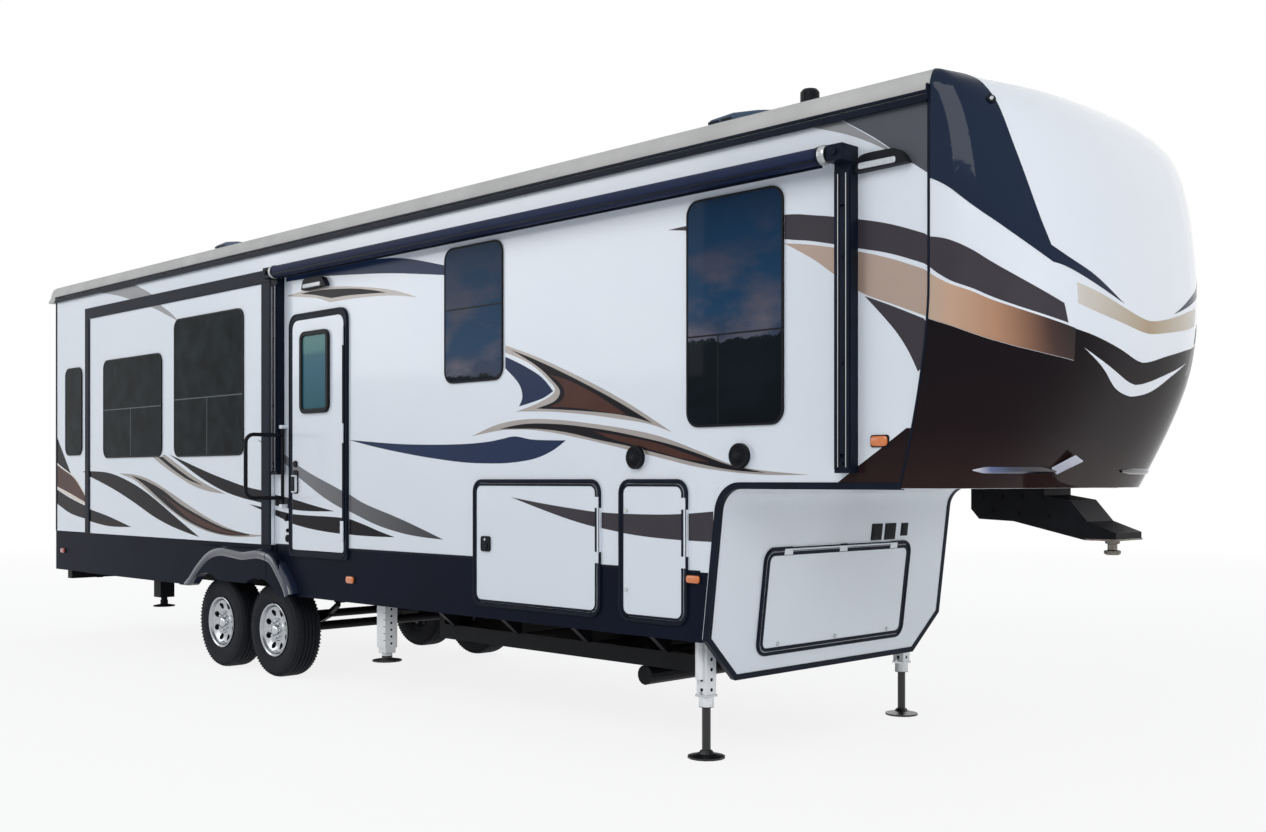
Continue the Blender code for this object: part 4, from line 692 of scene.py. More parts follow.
def placed(bm, place, out=0.0):
    """Moves a flat shape onto its wall, which a function of (along, up, out) gives."""
    for vert in bm.verts:
        vert.co = place(vert.co.x, vert.co.y, out + vert.co.z)


def framed(name, key, window, radius, width, depth, place, out, bevel, body=BODY, weld=True):
    """A frame of its own round a window of (a0, a1, b0, b1), seated on a wall."""
    bm = bmesh.new()
    ring(bm, *window, radius, width, depth)
    placed(bm, place, out)
    finish(bm, name, key, body, bevel=bevel, weld=weld)


def on_side(side, face=HALF):
    """Places (x, z, out from the wall) on a side wall."""
    return lambda a, b, out: Vector((a, side * (face + out), b))


def on_bay(a, b, out):
    """Places (y, distance down the leaning front, out from it)."""
    return BAY_TOP + Vector((0, a, 0)) + BAY_DOWN * b + BAY_AWAY * out


def seam_x(z):
    low = min(max((SEAM_BEND_Z - z) / (SEAM_BEND_Z - OVERHANG_Z), 0), 1)
    return SEAM_X - SEAM_SWEEP * low ** 1.6


def roof_z(y):
    out = abs(y) - (HALF - SHOULDER_IN)
    if out <= 0:
        return CROWN_Z - (CROWN_Z - SHOULDER_Z) * (y / (HALF - SHOULDER_IN)) ** 2
    return GUTTER_Z + (SHOULDER_Z - GUTTER_Z) * math.sqrt(max(1 - (out / SHOULDER_IN) ** 2, 0))


CAP_ROWS = smooth_curve(CAP_PROFILE, CAP_SPLIT)


def cap_point(across, height, out=0.0):
    """A point on the front cap: across from -1 to 1, height of its middle line, out along the normal."""
    across = min(max(across, -1), 1)
    height = min(max(height, OVERHANG_Z), CROWN_Z)

    def spot(a, h):
        ahead = CAP_ROWS[-1][0]
        for (x0, z0), (x1, z1) in zip(CAP_ROWS, CAP_ROWS[1:]):
            if z1 <= h <= z0:
                ahead = x0 + (x1 - x0) * ((z0 - h) / (z0 - z1) if z0 > z1 else 0)
                break
        angle = abs(a) * math.pi / 2
        y = math.copysign(HALF * math.sin(angle) ** (2 / SIDE_POWER), a)
        fade = (h - OVERHANG_Z) / (CROWN_Z - OVERHANG_Z)
        z = h - (CROWN_Z - roof_z(y)) * fade
        edge = seam_x(z)
        near = max(math.cos(angle), 0.0) ** (2 / NOSE_POWER) if abs(a) < 1 else 0.0
        return Vector((edge + (SEAM_X + ahead - edge) * near, y, z))

    point = spot(across, height)
    if not out:
        return point
    step = 0.02
    inner = max(min(across, 1 - step), -1 + step)
    level = max(min(height, CROWN_Z - step), OVERHANG_Z + step)
    sideways = spot(inner + step / 2, level) - spot(inner - step / 2, level)
    upwards = spot(inner, level + step / 2) - spot(inner, level - step / 2)
    return point + sideways.cross(upwards).normalized() * out


# Stripes of the walls as name: (finish, layer, runs), where runs of (x, z) in metres join at corners
WALL_STRIPES = {
    "rear_wedge": ("vinyl_grey", 1, (
        ((-3.712, 3.526), (-3.451, 3.44), (-3.278, 3.366), (-3.065, 3.259), (-2.887, 3.179),
         (-2.733, 3.09)),
        ((-2.733, 3.09), (-2.966, 3.168), (-3.246, 3.257), (-3.712, 3.372), (-4.052, 3.452),
         (-4.48, 3.526)),
    )),
    "rear_tail_high": ("vinyl_black", 1, (
        ((-5.56, 2.12), (-5.422, 1.966), (-5.194, 1.715)),
        ((-5.194, 1.715), (-5.42, 1.785), (-5.56, 1.835)),
    )),
    "rear_tail_cream": ("vinyl_cream", 1, (
        ((-5.56, 1.826), (-5.422, 1.778), (-5.11, 1.684), (-4.889, 1.54), (-4.716, 1.396)),
        ((-4.716, 1.396), (-4.728, 1.374), (-5.215, 1.47), (-5.56, 1.558)),
    )),
    "rear_tail_brown": ("vinyl_brown", 2, (
        ((-5.56, 1.812), (-5.422, 1.766), (-5.122, 1.672), (-4.903, 1.532), (-4.735, 1.396)),
        ((-4.735, 1.396), (-5.169, 1.499), (-5.56, 1.584)),
    )),
    "rear_tail_low": ("vinyl_black", 1, (
        ((-5.56, 1.55), (-5.219, 1.462), (-4.731, 1.366), (-4.222, 1.291), (-3.7, 1.195)),
        ((-3.7, 1.195), (-4.2, 1.192), (-4.731, 1.241), (-5.169, 1.294), (-5.424, 1.36), (-5.56, 1.402)),
    )),
    "slide_swoosh": ("vinyl_black", 1, (
        ((-4.897, 1.734), (-4.507, 1.733), (-4.186, 1.715), (-3.876, 1.662), (-3.534, 1.577),
         (-3.205, 1.468), (-2.771, 1.301), (-2.34, 1.139)),
        ((-2.34, 1.139), (-2.619, 1.179), (-2.927, 1.234), (-3.246, 1.31), (-3.619, 1.426),
         (-4.052, 1.547), (-4.507, 1.653), (-4.897, 1.734)),
    )),
    "slide_arc": ("vinyl_taupe", 1, (
        ((-3.964, 1.711), (-3.661, 1.7), (-3.327, 1.653), (-2.927, 1.543), (-2.544, 1.421),
         (-2.177, 1.313), (-1.826, 1.235), (-1.49, 1.193), (-1.167, 1.186)),
        ((-1.167, 1.186), (-1.49, 1.165), (-1.826, 1.163), (-2.177, 1.191), (-2.544, 1.261),
         (-2.849, 1.354), (-3.165, 1.468), (-3.451, 1.578), (-3.661, 1.653), (-3.964, 1.711)),
    )),
    "slide_arc_dark": ("vinyl_black", 2, (
        ((-3.7, 1.69), (-3.4, 1.64), (-3.05, 1.555), (-2.733, 1.438), (-2.322, 1.325), (-1.895, 1.232),
         (-1.457, 1.186)),
        ((-1.457, 1.178), (-1.826, 1.171), (-2.177, 1.202), (-2.544, 1.276), (-2.849, 1.37),
         (-3.165, 1.494), (-3.42, 1.6), (-3.7, 1.69)),
    )),
    "slide_arc_brown": ("vinyl_brown", 3, (
        ((-3.05, 1.515), (-2.733, 1.412), (-2.322, 1.302), (-1.895, 1.216), (-1.5, 1.183)),
        ((-1.5, 1.183), (-1.826, 1.182), (-2.177, 1.222), (-2.544, 1.302), (-3.05, 1.515)),
    )),
    "slide_top": ("vinyl_taupe", 1, (
        ((-3.005, 1.881), (-2.771, 1.796), (-2.544, 1.714), (-2.249, 1.617), (-1.861, 1.524)),
        ((-1.861, 1.524), (-2.177, 1.548), (-2.469, 1.599), (-2.771, 1.688), (-3.045, 1.78),
         (-3.246, 1.86)),
    )),
    "slide_top_dark": ("vinyl_black", 2, (
        ((-3.065, 1.868), (-2.849, 1.782), (-2.544, 1.674), (-2.285, 1.599)),
        ((-2.285, 1.599), (-2.544, 1.648), (-2.81, 1.732), (-3.145, 1.862)),
    )),
    "slide_long": ("vinyl_black", 1, (
        ((-2.907, 1.879), (-2.619, 1.813), (-2.177, 1.713), (-1.826, 1.643), (-1.49, 1.585),
         (-1.112, 1.545)),
        ((-1.112, 1.44), (-1.623, 1.5), (-1.965, 1.566), (-2.322, 1.669), (-2.619, 1.777),
         (-2.907, 1.879)),
    )),
    "slide_low_tip": ("vinyl_black", 1, (
        ((-1.473, 1.443), (-1.112, 1.406)),
        ((-1.112, 1.366), (-1.473, 1.443)),
    )),
    "slide_grey_tip": ("vinyl_grey", 1, (
        ((-1.333, 1.985), (-1.112, 1.935)),
        ((-1.112, 1.885), (-1.333, 1.985)),
    )),
    "awning_shade": ("vinyl_navy", 1, (
        ((-0.931, 3.335), (-0.411, 3.325), (0.019, 3.31), (0.346, 3.297), (0.555, 3.282), (0.809, 3.242),
         (1.196, 3.153)),
        ((1.196, 3.086), (0.555, 3.169), (0.019, 3.217), (-0.411, 3.248), (-0.931, 3.262)),
    )),
    "porch_arc": ("vinyl_taupe", 1, (
        ((-0.931, 3.145), (-0.56, 3.166), (-0.179, 3.147), (0.157, 3.109), (0.555, 3.046), (0.858, 2.964)),
        ((0.858, 2.964), (0.607, 3.0), (0.346, 3.021), (0.019, 3.033), (-0.28, 3.034)),
        ((-0.28, 3.034), (-0.471, 3.084), (-0.682, 3.113), (-0.931, 3.145)),
    )),
    "porch_arc_dark": ("vinyl_black", 2, (
        ((-0.713, 3.141), (-0.411, 3.143), (0.019, 3.111), (0.292, 3.072), (0.477, 3.035)),
        ((0.477, 3.035), (0.019, 3.061), (-0.265, 3.065)),
        ((-0.265, 3.065), (-0.5, 3.112), (-0.713, 3.141)),
    )),
    "door_grey": ("vinyl_smoke", 1, (
        ((-1.112, 1.93), (-0.899, 1.83), (-0.56, 1.704), (-0.108, 1.568), (0.184, 1.469), (0.555, 1.384),
         (0.809, 1.322), (1.172, 1.225)),
        ((1.172, 1.225), (0.908, 1.236), (0.658, 1.259), (0.346, 1.311), (0.019, 1.397), (-0.265, 1.48),
         (-0.56, 1.599), (-0.899, 1.755), (-1.112, 1.875)),
    )),
    "door_black_small": ("vinyl_black", 1, (
        ((-1.112, 1.524), (-0.805, 1.491), (-0.5, 1.445), (-0.193, 1.402)),
        ((-0.193, 1.402), (-0.5, 1.398), (-0.774, 1.405), (-1.112, 1.437)),
    )),
    "door_black": ("vinyl_black", 1, (
        ((-1.112, 1.402), (-0.868, 1.374), (-0.56, 1.363), (-0.093, 1.354), (0.157, 1.314),
         (0.372, 1.266), (0.586, 1.224)),
        ((0.586, 1.224), (0.238, 1.222), (-0.093, 1.23), (-0.471, 1.252), (-0.805, 1.292),
         (-1.112, 1.356)),
    )),
    "middle_navy": ("vinyl_navy", 1, (
        ((-0.015, 1.952), (0.292, 1.931), (0.658, 1.908), (1.053, 1.896), (1.404, 1.894), (1.65, 1.903),
         (1.802, 1.918), (1.949, 1.934), (2.143, 1.908), (2.452, 1.897)),
        ((2.452, 1.897), (2.317, 1.831), (2.143, 1.783), (1.91, 1.76), (1.694, 1.757), (1.404, 1.767),
         (1.053, 1.799), (0.709, 1.84), (0.346, 1.891), (-0.015, 1.952)),
    )),
    "blade": ("vinyl_taupe", 1, (
        ((1.852, 2.545), (2.168, 2.448), (2.464, 2.34), (2.791, 2.21), (3.058, 2.089), (3.375, 1.927)),
        ((3.375, 1.927), (3.187, 1.98), (2.926, 2.019), (2.653, 2.054), (2.293, 2.086), (1.962, 2.098)),
        ((1.962, 2.098), (2.193, 2.148), (2.347, 2.215), (2.268, 2.301), (2.092, 2.411), (1.852, 2.498)),
    )),
    "blade_dark": ("vinyl_black", 2, (
        ((1.91, 2.511), (2.168, 2.426), (2.464, 2.315), (2.791, 2.182), (3.014, 2.083), (3.219, 1.984)),
        ((3.219, 1.984), (3.08, 2.019), (2.881, 2.052), (2.535, 2.085), (2.168, 2.111)),
        ((2.168, 2.111), (2.342, 2.15), (2.396, 2.213), (2.317, 2.29), (2.168, 2.39), (1.91, 2.511)),
    )),
    "blade_brown": ("vinyl_brown", 3, (
        ((2.293, 2.325), (2.464, 2.283), (2.699, 2.191), (2.881, 2.104), (3.003, 2.04)),
        ((3.003, 2.04), (2.791, 2.068), (2.535, 2.101), (2.293, 2.116)),
        ((2.293, 2.116), (2.415, 2.155), (2.439, 2.211), (2.391, 2.27), (2.293, 2.325)),
    )),
    "blade_navy": ("vinyl_navy", 1, (
        ((1.852, 2.469), (2.04, 2.398), (2.218, 2.312), (2.33, 2.216)),
        ((2.33, 2.216), (2.218, 2.172), (1.994, 2.131)),
        ((1.994, 2.131), (2.027, 2.197), (1.989, 2.283), (1.852, 2.392)),
    )),
    "long_arc": ("vinyl_taupe", 1, (
        ((1.488, 1.945), (1.777, 2.019), (2.066, 2.044), (2.367, 2.031), (2.653, 2.001), (2.97, 1.96),
         (3.229, 1.915), (3.416, 1.866), (3.616, 1.803), (3.828, 1.735), (4.051, 1.698), (4.384, 1.672)),
        ((4.384, 1.672), (4.087, 1.673), (3.809, 1.692), (3.557, 1.723), (3.313, 1.77), (3.058, 1.819),
         (2.791, 1.871), (2.535, 1.916), (2.293, 1.954), (2.04, 1.978), (1.777, 1.976), (1.488, 1.945)),
    )),
    "long_arc_dark": ("vinyl_black", 2, (
        ((1.791, 1.988), (2.066, 2.014), (2.415, 2.0), (2.791, 1.957), (3.101, 1.906), (3.375, 1.852),
         (3.616, 1.788), (3.828, 1.728), (4.087, 1.684)),
        ((4.087, 1.684), (3.828, 1.702), (3.557, 1.745), (3.313, 1.793), (3.014, 1.851), (2.745, 1.895),
         (2.464, 1.947), (2.168, 1.978), (1.791, 1.988)),
    )),
    "long_arc_brown": ("vinyl_brown", 3, (
        ((2.699, 1.952), (2.97, 1.91), (3.229, 1.868), (3.477, 1.804), (3.675, 1.748)),
        ((3.675, 1.748), (3.477, 1.768), (3.187, 1.83), (2.881, 1.896), (2.699, 1.952)),
    )),
    "bay_black": ("vinyl_coal", 1, (
        ((1.923, 1.531), (2.243, 1.493), (2.535, 1.464), (2.791, 1.444), (3.101, 1.439), (3.416, 1.444),
         (3.72, 1.466)),
        ((3.72, 1.29), (3.416, 1.295), (3.101, 1.311), (2.791, 1.345), (2.535, 1.387), (2.243, 1.452),
         (1.923, 1.531)),
    )),
    # Charcoal film in the colour lightened as a painted reflection
    "top_dark": ("vinyl_slate", 1, (
        ((4.6, 3.526), (4.795, 3.402), (4.973, 3.27), (5.16, 3.136)),
        ((5.16, 3.136), (5.16, 3.526)),
        ((5.16, 3.526), (4.6, 3.526)),
    )),
    "top_grey": ("vinyl_grey", 1, (
        ((4.4, 3.526), (4.594, 3.526)),
        ((4.594, 3.526), (4.811, 3.385), (4.99, 3.249)),
        ((4.99, 3.249), (4.822, 3.353), (4.63, 3.446), (4.4, 3.526)),
    )),
    "band_dark": ("vinyl_coal", 1, (
        ((3.345, 3.118), (3.7, 3.122), (4.213, 3.087), (4.412, 3.056), (4.683, 2.999), (4.907, 2.94),
         (5.16, 2.846)),
        ((5.16, 2.696), (4.907, 2.79), (4.683, 2.849), (4.412, 2.917), (4.213, 2.954), (3.7, 3.06),
         (3.345, 3.118)),
    )),
    "band_tan": ("vinyl_tan", 1, (
        ((4.213, 2.931), (4.412, 2.897), (4.683, 2.832), (4.907, 2.765), (5.16, 2.666)),
        ((5.16, 2.436), (4.94, 2.524), (4.736, 2.605), (4.576, 2.705), (4.412, 2.82), (4.213, 2.931)),
    )),
    "low_dark": ("vinyl_coal", 1, (
        ((4.739, 2.593), (4.907, 2.527), (5.16, 2.418)),
        ((5.16, 2.418), (5.1, 2.24), (5.059, 2.184)),
        ((5.059, 2.184), (5.006, 2.286), (4.94, 2.382), (4.856, 2.475), (4.739, 2.593)),
    )),
    "foot_dark": ("cap_dark", 1, (
        ((4.54, 1.612), (4.701, 1.718), (4.856, 1.817), (4.99, 1.905)),
        ((5.02, 1.905), (5.02, 1.605)),
        ((4.96, 1.605), (4.54, 1.605)),
    )),
}

# The same for the cap, with runs of (across from -1 to 0, height) that the other half mirrors
CAP_STRIPES = {
    "cap_corner": ("cap_navy", 1, (
        ((-1.0, 3.76), (-0.57, 3.76)),
        ((-0.57, 3.76), (-0.572, 3.7), (-0.575, 3.592), (-0.557, 3.379), (-0.51, 3.149), (-0.461, 2.951),
         (-0.416, 2.812)),
        ((-0.416, 2.812), (-0.408, 2.728)),
        ((-0.408, 2.728), (-0.531, 2.824), (-0.657, 2.927), (-0.789, 3.041), (-0.92, 3.22), (-1.0, 3.33)),
    )),
    "cap_line": ("cap_navy", 1, (
        ((-0.422, 2.818), (-0.339, 2.759), (-0.209, 2.672), (-0.08, 2.552)),
        ((-0.08, 2.552), (-0.209, 2.632), (-0.34, 2.705), (-0.408, 2.729)),
    )),
    "cap_band": ("vinyl_coal", 1, (
        ((-1.0, 3.003), (-0.93, 2.94), (-0.767, 2.79), (-0.597, 2.672), (-0.356, 2.527)),
        ((-0.356, 2.527), (-0.328, 2.431)),
        ((-0.328, 2.431), (-0.568, 2.511), (-0.728, 2.579), (-0.865, 2.667), (-0.95, 2.76), (-1.0, 2.838)),
    )),
    "cap_copper": ("cap_copper", 1, (
        ((-1.0, 2.803), (-0.95, 2.735), (-0.865, 2.65), (-0.726, 2.562), (-0.554, 2.494), (-0.326, 2.418),
         (-0.292, 2.406)),
        ((-0.292, 2.406), (-0.269, 2.248)),
        ((-0.269, 2.248), (-0.435, 2.284), (-0.599, 2.326), (-0.78, 2.39), (-0.93, 2.49), (-1.0, 2.551)),
    )),
    "cap_lower": ("cap_dark", 1, (
        ((-1.0, 2.549), (-0.93, 2.488), (-0.78, 2.388), (-0.599, 2.324), (-0.435, 2.282), (-0.269, 2.246)),
        ((-0.269, 2.246), (-0.292, 2.404)),
        ((-0.292, 2.404), (-0.188, 2.372), (-0.07, 2.32), (0.0, 2.268)),
        ((0.0, 2.268), (0.0, 1.602)),
        ((0.0, 1.602), (-1.0, 1.602)),
    )),
    "cap_vee": ("cap_white", 2, (
        ((-0.235, 2.312), (-0.087, 2.222), (0.0, 2.152)),
        ((0.0, 2.152), (0.0, 2.092)),
        ((0.0, 2.092), (-0.05, 2.13), (-0.13, 2.224), (-0.235, 2.312)),
    )),
    "cap_cream": ("cap_tan", 1, (
        ((-0.3, 2.634), (-0.19, 2.59), (-0.079, 2.532), (0.0, 2.486)),
        ((0.0, 2.486), (0.0, 2.42)),
        ((0.0, 2.42), (-0.071, 2.45), (-0.2, 2.494), (-0.29, 2.53)),
        ((-0.29, 2.53), (-0.3, 2.634)),
    )),
}

# Openings and panels that cut the wall stripes: x0, x1, z0, z1
DOOR_HOLE = (-0.866, -0.014, 1.020, 2.985)
DOOR_PANEL = (-0.806, -0.074, 1.088, 2.922)
LATCH_HOLE = (LATCH_X - 0.035, LATCH_X + 0.035, 1.535, 1.725)
WALL_REAR_X = -5.565
WALL_FRONT_X = 5.2
BAY_STRIPE_END_X = 3.700
WINDOW_RIM = 0.004


def node_window(name, rim=0.0):
    low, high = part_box(name)
    return (low.x - rim, high.x + rim, low.z - rim, high.z + rim)


def stripe(name, key, layer, runs, body, place, within, holes=(), seam=False):
    """One film cut to a panel of the trailer; returns nothing where the panel doesn't meet it."""
    bm = bmesh.new()
    filled(bm, outline_of(runs))
    kept_within(bm, within)
    for hole in holes:
        opened(bm, hole)
    if not bm.faces:
        bm.free()
        return
    if seam:
        for tenths in range(17, 27):
            split_at(bm, 1, tenths / 10)
        for vert in bm.verts:
            vert.co.x = min(vert.co.x, seam_x(vert.co.y) - 0.004)
        bmesh.ops.dissolve_degenerate(bm, dist=WELD, edges=bm.edges[:])
    thickened(bm, FILM * layer + FILM_SUNK)
    placed(bm, place, -FILM_SUNK)
    finish(bm, name, key, body, sharp=30)


def make_side_stripes():
    """Films on the walls, the slide-out rooms, the baggage doors and the entry door."""
    top = GUTTER_Z - 0.001
    low = SKIRT_TOP + 0.001
    for tag, side in SIDES.items():
        slide = f"slide_room_{tag}"
        x0, x1, _, z1 = node_window(slide)
        holes = [(x0 - 0.006, x1 + 0.006, 1.0, z1 + 0.006)]
        holes += [node_window(n, WINDOW_RIM) for n in NODES if n.startswith("window_") and n.endswith(tag)]
        doors = [n for n in NODES if n.startswith("baggage_door") and n.endswith(tag)]
        holes += [baggage_window(n, 0.024) for n in doors]
        if side < 0:
            holes.append(DOOR_HOLE)
        panes = [n for n in NODES if n.startswith("slide_window") and n.endswith(tag)]
        slide_holes = [node_window(n, WINDOW_RIM) for n in panes]
        inner = (x0 + SLIDE_RIM_REAR + 0.001, x1 - SLIDE_RIM_FRONT - 0.001, low, z1 - SLIDE_RIM_TOP - 0.001)
        for name, film in WALL_STRIPES.items():
            wall = (WALL_REAR_X, BAY_STRIPE_END_X if name == "bay_black" else WALL_FRONT_X, low, top)
            stripe(f"film_{name}_{tag}", *film, BODY, on_side(side), wall, holes, seam=True)
            stripe(f"film_{name}_slide_{tag}", *film, slide, on_side(side, SLIDE_FACE), inner, slide_holes)
            for node in doors:
                panel = baggage_window(node, -0.003)
                stripe(f"film_{name}_{node}", *film, node, on_side(side, BAGGAGE_FACE), panel)
            if side < 0:
                place = on_side(side, DOOR_FACE)
                stripe(f"film_{name}_door", *film, "entry_door", place, DOOR_PANEL, [LATCH_HOLE])


def baggage_window(node, rim):
    """A baggage door's panel without its hinge barrels."""
    low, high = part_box(node)
    return (low.x - rim, high.x - 0.018 + rim, low.z - rim, high.z + rim)


def make_cap_stripes():
    """Painted fields and films that follow the nose, both halves in one piece."""
    for name, (key, layer, runs) in CAP_STRIPES.items():
        bm = bmesh.new()
        filled(bm, outline_of(runs))
        for _, level in CAP_ROWS[1:-1:2]:
            split_at(bm, 1, level)
        for column in range(-40, 41):
            split_at(bm, 0, column / 40)
        made = bmesh.ops.duplicate(bm, geom=bm.verts[:] + bm.edges[:] + bm.faces[:])["geom"]
        for item in made:
            if isinstance(item, bmesh.types.BMVert):
                item.co.x = -item.co.x
        bmesh.ops.remove_doubles(bm, verts=bm.verts[:], dist=WELD)
        depth = CAP_FILM_LIFT + FILM * layer
        made = bmesh.ops.extrude_face_region(bm, geom=bm.faces[:])["geom"]
        top = {item for item in made if isinstance(item, bmesh.types.BMVert)}
        for vert in bm.verts:
            out = depth if vert in top else -CAP_FILM_SUNK
            vert.co = cap_point(vert.co.x, vert.co.y, out)
        finish(bm, "film_" + name, key, sharp=50)


def make_cap_shell():
    """The moulded nose, finer than its solid but on the same surface."""
    bm = bmesh.new()
    count = len(CAP_ROWS) - 1
    bmesh.ops.create_grid(bm, x_segments=CAP_ACROSS, y_segments=count, size=1.0)
    for vert in bm.verts:
        row = round((1 - vert.co.y) / 2 * count)
        vert.co = cap_point(vert.co.x, CAP_ROWS[row][1])
    bmesh.ops.recalc_face_normals(bm, faces=bm.faces[:])
    foremost = max(bm.faces, key=lambda f: f.calc_center_median().x)
    if foremost.normal.x < 0:
        bmesh.ops.reverse_faces(bm, faces=bm.faces[:])
    bmesh.ops.solidify(bm, geom=bm.verts[:] + bm.edges[:] + bm.faces[:], thickness=CAP_THICK)
    finish(bm, "cap_shell", "cap_white", sharp=60, replaces=("front_cap",))


def swept(bm, sections):
    """Skins a run of closed sections with an even number of points and caps both ends."""
    loops = [[bm.verts.new(point) for point in section] for section in sections]
    for one, two in zip(loops, loops[1:]):
        for k in range(len(one)):
            bm.faces.new((one[k - 1], one[k], two[k], two[k - 1]))
    bm.faces.new(loops[0])
    bm.faces.new(loops[-1][::-1])


def bay_edge_path():
    """Edge of the storage front from the door side's overhang round to the road side's.

    Each row holds a point, the direction over the face to its middle and the direction out from the face.
    """
    down, away = BAY_DOWN, BAY_AWAY
    centre_x = BAY_TOP.x + BAY_COVE * (1 - math.sin(BAY_LEAN)) / math.cos(BAY_LEAN)
    centre = Vector((centre_x, 0, BAY_TOP.z - BAY_COVE))
    rows = [(Vector((4.960, 0, BAY_TOP.z)), Vector((0, 0, -1)))]
    for k in range(13):
        angle = math.pi / 2 + (math.pi / 2 - BAY_LEAN) * k / 12
        spoke = Vector((math.cos(angle), 0, math.sin(angle)))
        rows.append((centre + spoke * BAY_COVE, -spoke))
    rows.append((BAY_TOP + down * BAY_KNEE, away))
    rows.append((BAY_TOP + down * BAY_FOOT, away))
    chamfer = Vector((0, HALF - BAY_FOOT_HALF, 0)) + down * (BAY_FOOT - BAY_KNEE)
    inward = [Vector((0, 1, 0))] * (len(rows) - 2)
    slope = chamfer.cross(away).normalized()
    slope = slope if slope.y > 0 else -slope
    for one, two in ((Vector((0, 1, 0)), slope), (slope, -down)):
        inward.append((one + two) / (1 + one.dot(two)))
    path = []
    for number, (point, out) in enumerate(rows):
        half = BAY_FOOT_HALF if number == len(rows) - 1 else HALF
        path.append((point + Vector((0, -half, 0)), inward[number], out))
    flip = Matrix.Scale(-1, 3, Vector((0, 1, 0)))
    return path + [tuple(flip @ item for item in row) for row in path[::-1]]


def make_seams():
    """Beads and rails where the panels meet."""
    for tag, side in SIDES.items():
        pipe(f"seam_cap_bead_{tag}", [cap_point(side, z) for _, z in CAP_ROWS[::-1]], 0.0075, "trim")
        bm = bmesh.new()
        for x0, x1, out0, out1, up0, up1 in (
            # The last one covers the edge of the roof, which stands out past the cap
            (REAR_X + 0.02, SEAM_X - 0.001, -0.001, 0.023, -0.003, 0.030),
            (REAR_X + 0.02, SEAM_X - 0.001, 0.015, 0.030, -0.009, 0.006),
            (REAR_X + 0.02, SEAM_X - 0.001, 0.010, 0.022, 0.036, 0.052),
            (SEAM_X - 0.004, SEAM_X + 0.006, -0.001, 0.0235, -0.003, 0.082),
        ):
            block(bm, x0, x1, side * (HALF + out0), side * (HALF + out1), GUTTER_Z + up0, GUTTER_Z + up1)
        finish(bm, f"gutter_rail_{tag}", "trim", bevel=0.002)
        bm = bmesh.new()
        y0 = side * (HALF - 0.002)
        block(bm, REAR_X + 0.002, REAR_X + 0.030, y0, side * (HALF + 0.006), SKIRT_TOP, GUTTER_Z - 0.003)
        finish(bm, f"corner_trim_{tag}", "trim", bevel=0.003)
        bm = bmesh.new()
        block(bm, -1.090, 3.600, y0, side * (HALF + 0.004), SKIRT_TOP - 0.006, SKIRT_TOP + 0.010)
        finish(bm, f"skirt_moulding_{tag}", "trim", bevel=0.0015)
    profile = (
        # over the face, out from it
        (-0.006, 0.006), (0.030, 0.006), (0.030, -0.001), (-0.0005, -0.001), (-0.0005, -0.032),
        (-0.006, -0.032),
    )
    bm = bmesh.new()
    path = bay_edge_path()
    swept(bm, [[point + inward * a + out * b for a, b in profile] for point, inward, out in path])
    finish(bm, "bay_edge_trim", "trim", bevel=0.0018)


def make_flares():
    """Rolled edge of the flare over the wheels: on the slide-out room, with its front end on the body."""
    section = (
        # over the line, out from the wall
        (0.042, -0.002), (0.046, 0.040), (0.040, 0.072), (0.026, 0.090), (0.006, 0.0975), (-0.016, 0.0975),
        (-0.032, 0.092), (-0.040, 0.082), (-0.042, 0.060), (-0.042, -0.002),
    )
    line = smooth_curve(FLARE_LINE, 8)
    for tag, side in SIDES.items():
        for name, body, x0, x1 in (
            ("slide", f"slide_room_{tag}", line[0][0] - 1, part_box(f"slide_skirt_{tag}")[1].x - 0.001),
            ("front", BODY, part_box(f"skirt_front_{tag}")[0].x + 0.001, line[-1][0] + 1),
        ):
            sections = []
            for number, (x, z) in enumerate(line):
                before, after = line[max(number - 1, 0)], line[min(number + 1, len(line) - 1)]
                up = Vector((before[1] - after[1], 0, after[0] - before[0])).normalized()
                sections.append([Vector((x, side * (HALF + out), z)) + up * over for over, out in section])
            bm = bmesh.new()
            swept(bm, sections)
            bmesh.ops.holes_fill(bm, edges=bm.edges[:])
            for value, above in ((x0, False), (x1, True)):
                geom = bm.verts[:] + bm.edges[:] + bm.faces[:]
                bmesh.ops.bisect_plane(
                    bm, geom=geom, dist=1e-6, plane_co=(value, 0, 0), plane_no=(1, 0, 0),
                    clear_outer=above, clear_inner=not above,
                )
                bmesh.ops.holes_fill(bm, edges=[edge for edge in bm.edges if edge.is_boundary])
            for vert in bm.verts:
                vert.co.z = max(vert.co.z, FLARE_FOOT_Z)
            finish(bm, f"flare_edge_{name}_{tag}", "flare", body, sharp=50)


def make_slide_rims():
    """Dark extrusions along the top and both ends of each slide-out room's face."""
    for tag, side in SIDES.items():
        low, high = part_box(f"slide_room_{tag}")
        face = max(abs(low.y), abs(high.y))
        bm = bmesh.new()
        for x0, x1, z0, z1 in (
            (low.x, low.x + SLIDE_RIM_REAR, SKIRT_TOP, high.z - SLIDE_RIM_TOP),
            (high.x - SLIDE_RIM_FRONT, high.x, SKIRT_TOP, high.z - SLIDE_RIM_TOP),
            (low.x, high.x, high.z - SLIDE_RIM_TOP, high.z),
        ):
            y0, y1, y2, y3 = [side * (face + out) for out in (-0.010, 0.0022, 0.001, 0.0042)]
            block(bm, x0 - 0.001, x1 + 0.001, y0, y1, z0, z1 + 0.001)
            block(bm, x0 + 0.010, x1 - 0.010, y2, y3, z0 + 0.010, z1 - 0.010)
        finish(bm, f"slide_rim_{tag}", "trim", f"slide_room_{tag}", bevel=0.0015, weld=False)


